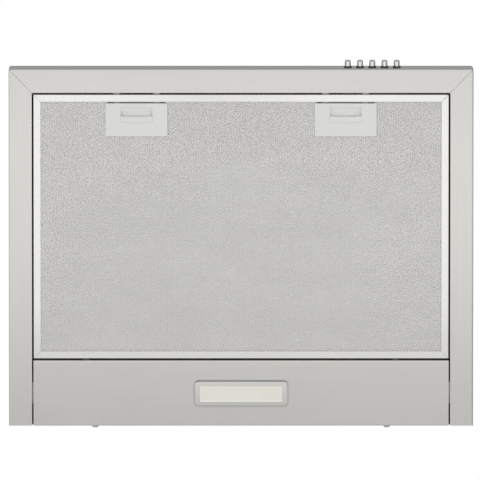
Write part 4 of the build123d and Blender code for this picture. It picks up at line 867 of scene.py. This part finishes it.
@dataclass
class CrossScrews:
    """Domed screws with a cross recess, for every group of screws of the frame."""

    sides: int = 28
    recess_share: float = 0.58
    recess_wide: float = 0.17
    pan_radius: float = 4.2 * MM
    pan_height: float = 3.0 * MM
    low_height: float = 2.2 * MM
    dome_drop: float = 0.55
    dome_rings: int = 5
    shank_radius: float = 1.86 * MM
    thread_pitch: float = 0.8 * MM
    thread_depth: float = 0.16
    recipe: Recipe = field(init=False)

    def __post_init__(self) -> None:
        """Draw the tree."""
        sizes = ["Head Radius", "Head Height", "Shank Radius", "Shank Length", "Thread Pitch"]
        self.recipe = Recipe("cross_screws", {"Float": sizes})
        sheet = self.recipe.sheet
        screw = sheet.add("GeometryNodeJoinGeometry", {0: [self._shank(), self._head()]})
        facing = sheet.add("GeometryNodeInputNamedAttribute", {"Name": "facing"}, data_type="FLOAT_VECTOR")
        turn = sheet.add("FunctionNodeAlignRotationToVector", {"Vector": facing}, axis="Z")
        points = sheet.add("GeometryNodeMeshToPoints", {"Mesh": self.recipe.input("Geometry")})
        values = {"Points": points, "Instance": screw, "Rotation": turn}
        self.recipe.end(sheet.add("GeometryNodeInstanceOnPoints", values))

    def _bar(self, radius: Wire, depth: Wire, rings: Value, share: Wire, rise: Wire) -> Wire:
        """A closed round bar along Z, whose rings are drawn in or out.

        Args:
            radius: Its radius.
            depth: Its length.
            rings: Number of rings along it.
            share: Factor for each point's distance from the axis.
            rise: Height of its middle.

        Returns:
            The bar.
        """
        sheet = self.recipe.sheet
        values = {"Vertices": self.sides, "Side Segments": rings, "Radius": radius, "Depth": depth}
        rod = sheet.add("GeometryNodeMeshCylinder", values, fill_type="NGON")
        values = {0: sheet.spot(), 1: sheet.vector(share, share, 1.0), 2: sheet.vector(z=rise)}
        moved = sheet.add("ShaderNodeVectorMath", values, operation="MULTIPLY_ADD")
        return sheet.add("GeometryNodeSetPosition", {"Geometry": rod, "Position": moved})

    def _head(self) -> Wire:
        """The domed head, less the cross."""
        sheet, given = self.recipe.sheet, self.recipe.input
        radius, height = given("Head Radius"), given("Head Height")
        up = sheet.parts(sheet.spot())[2] / height + 0.5
        dome = 1.0 - up * up * up * self.dome_drop
        head = self._bar(radius, height, self.dome_rings, dome, height * 0.5)
        arm, slim = radius * (2 * self.recess_share), radius * (2 * self.recess_wide)
        cuts = []
        for wide, deep in ((arm, slim), (slim, arm)):
            bar = sheet.add("GeometryNodeMeshCube", {"Size": sheet.vector(wide, deep, height)})
            values = {"Geometry": bar, "Translation": sheet.vector(z=height)}
            cuts.append(sheet.add("GeometryNodeTransform", values))
        values = {0: head, 1: cuts}
        return sheet.add("GeometryNodeMeshBoolean", values, operation="DIFFERENCE", solver="EXACT")

    def _shank(self) -> Wire:
        """The shank, with a groove at every second ring."""
        sheet, given = self.recipe.sheet, self.recipe.input
        length = given("Shank Length")
        rings = round(length / given("Thread Pitch")) * 2.0
        ring = round((sheet.parts(sheet.spot())[2] / length + 0.5) * rings)
        share = 1.0 - (ring % 2.0) * self.thread_depth
        return self._bar(given("Shank Radius"), length, rings, share, length * -0.5)

    def head_height(self, radius: float) -> float:
        """Height of a head: pan heads are the wider ones."""
        return self.pan_height if radius > self.pan_radius else self.low_height

    def fit(self, node: str, body: str, finish: Finish, axis: Along | None = None, side: float = 1.0) -> None:
        """Replace one group of screws.

        Args:
            node: The frame's node.
            body: Body that it belongs to.
            finish: Plating.
            axis: Axis of the screws, or None for the longer of X and Z of each screw.
            side: 1 or -1 for the heads' side, or 0 for heads away from the middle plane.
        """
        sizes: dict[tuple[float, float], list] = {}
        for solid in solids_of(node):
            along = axis or (Along.X if solid.size.x > solid.size.z else Along.Z)
            i = along.value
            radius = solid.size[(i + 1) % 3] / 2
            height = self.head_height(radius)
            way = side or math.copysign(1.0, solid.middle[i])
            seat = solid.middle.copy()
            seat[i] = (solid.high[i] if way > 0 else solid.low[i]) - way * height
            key = (round(radius, 5), round(solid.size[i] - height, 5))
            sizes.setdefault(key, []).append((seat, Vector(along.spread(way, 0.0))))
        made = []
        for (radius, length), spots in sizes.items():
            values = {
                "Head Radius": radius, "Head Height": self.head_height(radius),
                "Shank Radius": self.shank_radius, "Shank Length": length,
                "Thread Pitch": self.thread_pitch, "Finish": finish.material(),
            }
            made.append(self.recipe.make("screws_" + node, values, spots))
        keep(joined(made), body, finish.slot, node)


def joined(pieces: list[bpy.types.Object]) -> bpy.types.Object:
    """Join meshes into the first of them.

    Args:
        pieces: Objects at the origin.

    Returns:
        The first object, with all the faces.
    """
    first = pieces[0]
    if len(pieces) > 1:
        work = bmesh.new()
        for piece in pieces:
            work.from_mesh(piece.data)
        work.to_mesh(first.data)
        work.free()
        for piece in pieces[1:]:
            bpy.data.objects.remove(piece)
    return first


@dataclass
class ExpandedSheet:
    """Expanded aluminium: zigzag strands in rows that meet in diamonds."""

    cell_length: float = 4.53 * MM
    cell_width: float = 3.16 * MM
    strand_width: float = 0.85 * MM
    strand_thickness: float = 0.4 * MM
    lean: float = 24.0
    jitter: float = 0.26 * MM
    seed: int = 7
    recipe: Recipe = field(init=False)

    def __post_init__(self) -> None:
        """Draw the tree."""
        sizes = ["Cell Length", "Cell Width", "Strand Width", "Strand Thickness", "Lean", "Jitter"]
        corners = ["Low", "High", "Cut Low", "Cut High"]
        self.recipe = Recipe("expanded_sheet", {"Float": sizes, "Vector": corners, "Int": ["Seed"]})
        self.recipe.end(self._ribbons(self._shaken(self._trimmed(self._rows()))))

    def _rows(self) -> Wire:
        """Straight rows of points, bent to zigzags whose tips meet."""
        sheet, given = self.recipe.sheet, self.recipe.input
        x0, y0, _ = sheet.parts(given("Low"))
        x1, y1, _ = sheet.parts(given("High"))
        step, pitch = given("Cell Length") * 0.5, given("Cell Width") * 0.5
        columns = sheet.add("FunctionNodeFloatToInt", {0: (x1 - x0) / step + 1.0}, rounding_mode="FLOOR")
        rows = sheet.add("FunctionNodeFloatToInt", {0: (y1 - y0) / pitch}, rounding_mode="FLOOR")
        one = sheet.add("GeometryNodeMeshLine", {"Count": columns, "Offset": sheet.vector(step)})
        first = {"Count": rows, "Start Location": given("Low"), "Offset": sheet.vector(y=pitch)}
        starts = sheet.add("GeometryNodeMeshLine", first)
        many = sheet.add("GeometryNodeInstanceOnPoints", {"Points": starts, "Instance": one})
        many = sheet.add("GeometryNodeRealizeInstances", {0: many})
        x, y, _ = sheet.parts(sheet.spot())
        odd = (round((x - x0) / step) + round((y - y0) / pitch)) % 2.0
        tip = sheet.vector(y=odd * pitch)
        return sheet.add("GeometryNodeSetPosition", {"Geometry": many, "Offset": tip})

    def _trimmed(self, rows: Wire) -> Wire:
        """Leave out what lies in the two cuts, which mirror each other.

        Args:
            rows: The zigzags.

        Returns:
            What is left of them.
        """
        sheet, given = self.recipe.sheet, self.recipe.input
        x, y, _ = sheet.parts(sheet.spot())
        x0, y0, _ = sheet.parts(given("Cut Low"))
        x1, y1, _ = sheet.parts(given("Cut High"))
        inside = (abs(x) > x0) * (abs(x) < x1) * (y > y0) * (y < y1)
        cut = {"Geometry": rows, "Selection": inside > 0.5}
        return sheet.add("GeometryNodeDeleteGeometry", cut, domain="POINT")

    def _shaken(self, rows: Wire) -> Wire:
        """Move each point by a small random amount.

        Args:
            rows: The zigzags.

        Returns:
            The uneven zigzags.
        """
        sheet, given = self.recipe.sheet, self.recipe.input
        reach = given("Jitter")
        most = sheet.vector(reach, reach, reach * 0.5)
        least = sheet.add("ShaderNodeVectorMath", {0: most, "Scale": -1.0}, operation="SCALE")
        values = {"Min": least, "Max": most, "Seed": given("Seed")}
        nudge = sheet.add("FunctionNodeRandomValue", values, data_type="FLOAT_VECTOR")
        return sheet.add("GeometryNodeSetPosition", {"Geometry": rows, "Offset": nudge})

    def _ribbons(self, rows: Wire) -> Wire:
        """Turn the rows into leaning flat strands.

        Args:
            rows: The zigzags.

        Returns:
            The strands.
        """
        sheet, given = self.recipe.sheet, self.recipe.input
        lines = sheet.add("GeometryNodeMeshToCurve", {0: rows})
        flat = sheet.add("GeometryNodeSetCurveNormal", {0: lines}, mode="Z_UP")
        leaning = sheet.add("GeometryNodeSetCurveTilt", {"Curve": flat, "Tilt": given("Lean")})
        values = {"Width": given("Strand Width"), "Height": given("Strand Thickness")}
        section = sheet.add("GeometryNodeCurvePrimitiveQuadrilateral", values)
        swept = {"Curve": leaning, "Profile Curve": section, "Fill Caps": True}
        return sheet.add("GeometryNodeCurveToMesh", swept)

    def lay(
        self, name: str, low: Vector, high: Vector, cut: Solid, finish: Finish, scale: float = 1.0
    ) -> bpy.types.Object:
        """Make one stretch of the sheet.

        Args:
            name: Name of the piece.
            low: Lowest corner.
            high: Highest corner.
            cut: Opening on the right, which is mirrored to the left.
            finish: Finish of the strands.
            scale: Size of the cells compared with the face sheet.

        Returns:
            The piece.
        """
        values = {
            "Cell Length": self.cell_length * scale, "Cell Width": self.cell_width * scale,
            "Strand Width": self.strand_width * scale, "Strand Thickness": self.strand_thickness,
            "Lean": math.radians(self.lean), "Jitter": self.jitter,
            "Low": low, "High": high, "Cut Low": cut.low, "Cut High": cut.high,
            "Seed": self.seed, "Finish": finish.material(),
        }
        return self.recipe.make(name, values)


@dataclass
class CoilSprings:
    """Small coil springs along the depth, one behind each latch's pocket."""

    turns: float = 7.0
    steps: int = 28
    wire: float = 0.35 * MM
    sides: int = 10
    pressed: float = 0.77
    recipe: Recipe = field(init=False)

    def __post_init__(self) -> None:
        """Draw the tree."""
        kinds = {"Float": ["Radius", "Length", "Wire", "Turns"], "Vector": ["Start"]}
        self.recipe = Recipe("coil_spring", kinds)
        sheet, given = self.recipe.sheet, self.recipe.input
        values = {"Resolution": self.sides, "Radius": given("Wire")}
        round_wire = sheet.add("GeometryNodeCurvePrimitiveCircle", values)
        turned = {
            "Resolution": self.steps, "Rotations": given("Turns"), "Height": given("Length"),
            "Start Radius": given("Radius"), "End Radius": given("Radius"),
        }
        path = sheet.add("GeometryNodeCurveSpiral", turned)
        swept = {"Curve": path, "Profile Curve": round_wire, "Fill Caps": True}
        coil = sheet.add("GeometryNodeCurveToMesh", swept)
        values = {"Geometry": coil, "Translation": given("Start"), "Rotation": (-math.pi / 2, 0.0, 0.0)}
        self.recipe.end(sheet.add("GeometryNodeTransform", values))

    def fit(self, solid: Solid, side: str) -> None:
        """Wind one spring in its sleeve's place; it shortens as its latch slides back.

        Args:
            solid: The sleeve.
            side: left or right.
        """
        start, end = solid.middle.copy(), solid.middle.copy()
        start.y, end.y = solid.low.y + self.wire, solid.high.y
        values = {
            "Radius": solid.size.x / 2 - self.wire, "Length": solid.size.y - 2 * self.wire,
            "Wire": self.wire, "Turns": self.turns, "Start": start, "Finish": Finishes.spring.material(),
        }
        piece = self.recipe.make("spring_" + side, values)
        keep(piece, "filter", Finishes.spring.slot, "latch_springs")
        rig.squash(piece, f"latch_{side}_slide", (0.0, 1.0, 0.0), tuple(end), self.pressed)


@dataclass
class Canopy:
    """Rim, front strip, slopes, back plate and deck."""

    screws: CrossScrews

    def build(self) -> None:
        """Dress the sheets and fit their screws."""
        dress(Finishes.steel_across, "front_panel")
        dress(Finishes.steel_deep, "left_panel")
        dress(Finishes.steel_right, "right_panel")
        dress(Finishes.zinc_sheet, "corner_brackets", "back_plate", "deck_plate")
        self.screws.fit("deck_screws", "hood", Finishes.zinc_bolt, Along.Z)
        self.screws.fit("rear_screws", "hood", Finishes.dark_bolt, Along.Y)


@dataclass
class Lamp:
    """Rear panel with its lamp."""

    screws: CrossScrews

    def build(self) -> None:
        """Dress the panel, the cover, the housing and the board."""
        dress(Finishes.steel_rear, "lamp_panel")
        dress(Finishes.spring, "panel_clips")
        dress(Finishes.bezel, "lamp_bezel")
        dress(Finishes.lens, "lamp_lens")
        dress(Finishes.white, "lamp_housing")
        dress(Finishes.board, "led_board")
        self.screws.fit("lamp_screws", "hood", Finishes.flush_bolt, Along.Z)


@dataclass
class GreaseFilter:
    """Aluminium filter with its mesh, its hidden layers and its two latches."""

    sheet: ExpandedSheet
    stretches: int = 3
    slack: float = 0.01
    back_scale: float = 1.7
    notch_gap: float = 0.4 * MM

    def build(self) -> None:
        """Dress the bars and latches, and lay the mesh sheets."""
        dress(Finishes.frame_bar, "filter_frame")
        dress(Finishes.tab, "filter_tabs")
        dress(Finishes.grey, "latch_bases")
        dress(Finishes.latch, "latch_left", "latch_right")
        springs = CoilSprings()
        for solid, side in zip(solids_of("latch_springs"), ("left", "right")):
            springs.fit(solid, side)
        self._face()
        self._layers()

    def _cut(self) -> Solid:
        """The opening round the right latch's guide."""
        return solids_of("latch_bases")[1]

    def _face(self) -> None:
        """The mesh that shows from below, in stretches side by side."""
        low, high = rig.box("filter_face_mesh")
        cut = self._cut()
        middle = (low.z + high.z) / 2
        step = self.sheet.cell_length
        cells = round((high.x - low.x) / self.stretches / step)
        for i in range(self.stretches):
            start = low.x + i * cells * step
            end = high.x if i == self.stretches - 1 else start + (cells + self.slack) * step
            corner, far = Vector((start, low.y, middle)), Vector((end, high.y, middle))
            piece = self.sheet.lay(f"face_mesh_{i + 1}", corner, far, cut, Finishes.strands)
            keep(piece, "filter", Finishes.strands.slot, "filter_face_mesh")

    def _layers(self) -> None:
        """The pressed core behind the mesh, and the open mesh on the blower's side."""
        layers = sorted(solids_of("filter_layers"), key=lambda s: s.low.z)
        keep(self._plates(layers[:-1]), "filter", Finishes.core.slot, "filter_layers")
        back = layers[-1]
        low, high = (Vector((corner.x, corner.y, back.middle.z)) for corner in (back.low, back.high))
        piece = self.sheet.lay("back_mesh", low, high, self._cut(), Finishes.strands, self.back_scale)
        keep(piece, "filter", Finishes.strands.slot, "filter_layers")

    def _plates(self, layers: list[Solid]) -> bpy.types.Object:
        """Thin plates with a notch round each latch's guide.

        Args:
            layers: Boxes of the plates.

        Returns:
            The piece.
        """
        cut, gap = self._cut(), self.notch_gap
        x0, x1, y1 = cut.low.x - gap, cut.high.x + gap, cut.high.y + gap
        work = bmesh.new()
        for layer in layers:
            a, b = layer.low, layer.high
            edge = [
                (a.x, a.y), (-x1, a.y), (-x1, y1), (-x0, y1), (-x0, a.y), (x0, a.y),
                (x0, y1), (x1, y1), (x1, a.y), (b.x, a.y), (b.x, b.y), (a.x, b.y),
            ]
            face = work.faces.new([work.verts.new((x, y, a.z)) for x, y in edge])
            grown = bmesh.ops.extrude_face_region(work, geom=[face])
            lifted = [g for g in grown["geom"] if isinstance(g, bmesh.types.BMVert)]
            bmesh.ops.translate(work, verts=lifted, vec=(0, 0, b.z - a.z))
        bmesh.ops.recalc_face_normals(work, faces=work.faces)
        mesh = bpy.data.meshes.new("filter_core")
        work.to_mesh(mesh)
        work.free()
        mesh.materials.append(Finishes.core.material())
        return placed("filter_core", mesh)


@dataclass
class Controls:
    """Five push buttons with their collars and switch."""

    buttons: int = 5

    def build(self) -> None:
        """Dress the caps, collars and switch."""
        dress(Finishes.chrome, *(f"push_button_{number + 1}" for number in range(self.buttons)))
        dress(Finishes.black, "button_collars")
        dress(Finishes.zinc_sheet, "switch_bracket")
        dress(Finishes.white, "switch_block")
        dress(Finishes.zinc_bolt, "switch_nuts")


@dataclass
class Blower:
    """Scroll, wheel, motor and their fasteners."""

    screws: CrossScrews

    def build(self) -> None:
        """Dress the housing, the drive and the capacitor."""
        dress(Finishes.dark, "scroll_left", "scroll_right", "inlet_grilles", "impeller")
        dress(Finishes.paint, "motor")
        dress(Finishes.ground_x, "motor_shaft")
        dress(Finishes.zinc_sheet, "motor_bracket")
        dress(Finishes.rubber, "motor_grommets")
        dress(Finishes.can, "capacitor")
        dress(Finishes.white, "capacitor_clip")
        self.screws.fit("motor_screws", "hood", Finishes.zinc_bolt, Along.X)
        self.screws.fit("blower_screws", "hood", Finishes.zinc_bolt)


@dataclass
class Outlet:
    """Collar for the duct with its two flaps."""

    def build(self) -> None:
        """Dress the collar, the flaps and their pin."""
        dress(Finishes.dark, "outlet_collar", "flap_left", "flap_right")
        dress(Finishes.ground_y, "flap_pin")


@dataclass
class Wiring:
    """Terminal box, gland and the leads inside the hood."""

    def build(self) -> None:
        """Dress the box, the gland and the leads."""
        dress(Finishes.white, "terminal_box", "terminal_lid", "terminal_block")
        dress(Finishes.dark, "cord_gland")
        dress(Finishes.sheath, "switch_lead", "motor_lead", "lamp_lead")


@dataclass
class ChimneyCovers:
    """Lower and upper covers with their wall bracket."""

    screws: CrossScrews

    def build(self) -> None:
        """Dress the covers and fit their screws."""
        dress(Finishes.steel_upright, "lower_chimney", "upper_chimney")
        dress(Finishes.zinc_sheet, "flue_bracket")
        self.screws.fit("chimney_screws", "hood", Finishes.zinc_bolt, Along.X, 0.0)
        self.screws.fit("flue_screws", "upper_cover", Finishes.zinc_bolt, Along.X, 0.0)


@dataclass
class Studio:
    """Pale floor, soft light and the camera under the hood."""

    aim: Place = (-0.00136, -0.2454, -0.205)
    distance: float = 20.0
    lean: float = 5.94
    view_width: float = 0.620
    sensor: float = 36.0
    floor_drop: float = 1.6
    floor_size: float = 12.0
    clip: tuple[float, float] = (1.0, 300.0)
    sky: tuple[tuple[float, float], ...] = ((0.30, 0.95), (0.62, 0.45))
    sun_strength: float = 1.9
    sun_spread: float = 40.0
    sun_turn: Place = (32.0, 18.0, 0.0)
    panel_glow: float = 0.658
    panel_size: tuple[float, float] = (2.0, 0.46)
    panel_place: Place = (0.0, -0.26, -1.1)

    def build(self) -> None:
        """Set the stage."""
        self._sky()
        self._floor()
        self._panel()
        self._sun()
        self._camera()
        bpy.context.scene.view_settings.view_transform = "Standard"

    def _sky(self) -> None:
        """White behind the object, brighter from below than from above for its light."""
        world = bpy.data.worlds.new("studio")
        world.use_nodes = True
        world.node_tree.nodes.clear()
        sheet = Sheet(world.node_tree)
        ray = sheet.add("ShaderNodeTexCoord", {}, "Generated")
        up = sheet.parts(ray)[2] * 0.5 + 0.5
        ramp = sheet.put("ShaderNodeValToRGB", {0: up})
        for stop, (place, glow) in zip(ramp.color_ramp.elements, self.sky):
            stop.position, stop.color = place, (glow, glow, glow, 1.0)
        seen = sheet.add("ShaderNodeLightPath", {}, "Is Camera Ray")
        colour = sheet.blend(seen, Wire(sheet, ramp.outputs[0]), (1.0, 1.0, 1.0))
        light = sheet.add("ShaderNodeBackground", {"Color": colour})
        sheet.put("ShaderNodeOutputWorld", {"Surface": light})
        bpy.context.scene.world = world
        log.info("set the sky")

    def _floor(self) -> None:
        """A pale floor under the hood, which the camera below it looks through."""
        mesh = bpy.data.meshes.new("floor")
        half, z = self.floor_size / 2, RIM - self.floor_drop
        corners = [(-half, -half, z), (half, -half, z), (half, half, z), (-half, half, z)]
        mesh.from_pydata(corners, [], [(0, 1, 2, 3)])
        pale = Moulded("pale_floor", "floor", (0.86, 0.86, 0.85), 0.7, texture=300.0)
        mesh.materials.append(pale.material())
        floor = placed("floor", mesh)
        floor.visible_camera = False
        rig.stage(floor)
        log.info("laid the floor")

    def _panel(self) -> None:
        """One large soft light under the rim."""
        light = bpy.data.lights.new("soft_panel", "AREA")
        light.shape = "RECTANGLE"
        light.size, light.size_y = self.panel_size
        light.energy = self.panel_glow * math.pi * light.size * light.size_y
        lamp = placed("soft_panel", light)
        lamp.matrix_world = Matrix.Translation(self.panel_place) @ Matrix.Rotation(math.pi, 4, "X")
        lamp.visible_camera = False
        log.info("hung the light")

    def _sun(self) -> None:
        """A wide soft light from the front and above, which also lights the floor."""
        light = bpy.data.lights.new("soft_sun", "SUN")
        light.energy = self.sun_strength
        light.angle = math.radians(self.sun_spread)
        lamp = placed("soft_sun", light)
        lamp.rotation_euler = [math.radians(turn) for turn in self.sun_turn]
        lamp.visible_glossy = False
        log.info("hung the sun")

    def _camera(self) -> None:
        """A long lens below the hood, its upper edge towards the hood's front."""
        lens = bpy.data.cameras.new("camera")
        lens.sensor_width = self.sensor
        lens.lens = self.sensor * self.distance / self.view_width
        lens.clip_start, lens.clip_end = self.clip
        camera = placed("camera", lens)
        turn = math.radians(self.lean)
        right, back = Vector((1.0, 0.0, 0.0)), Vector((0.0, -math.sin(turn), -math.cos(turn)))
        facing = Matrix((right, back.cross(right), back)).transposed().to_4x4()
        camera.matrix_world = Matrix.Translation(Vector(self.aim) + self.distance * back) @ facing
        bpy.context.scene.camera = camera
        log.info("placed the camera")


def main() -> None:
    """Build the sub-assemblies in order."""
    logging.basicConfig(level=logging.INFO, format="%(name)s: %(message)s")
    screws = CrossScrews()
    Studio().build()
    Canopy(screws).build()
    Lamp(screws).build()
    GreaseFilter(ExpandedSheet()).build()
    Controls().build()
    Blower(screws).build()
    Outlet().build()
    Wiring().build()
    ChimneyCovers(screws).build()
    boxes = {"cad": [list(c) for c in cad_box], "visual": [list(c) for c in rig.bounds()]}
    with open("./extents.json", "w", encoding="utf-8") as out:
        json.dump(boxes, out)


if __name__ == "__main__":
    main()
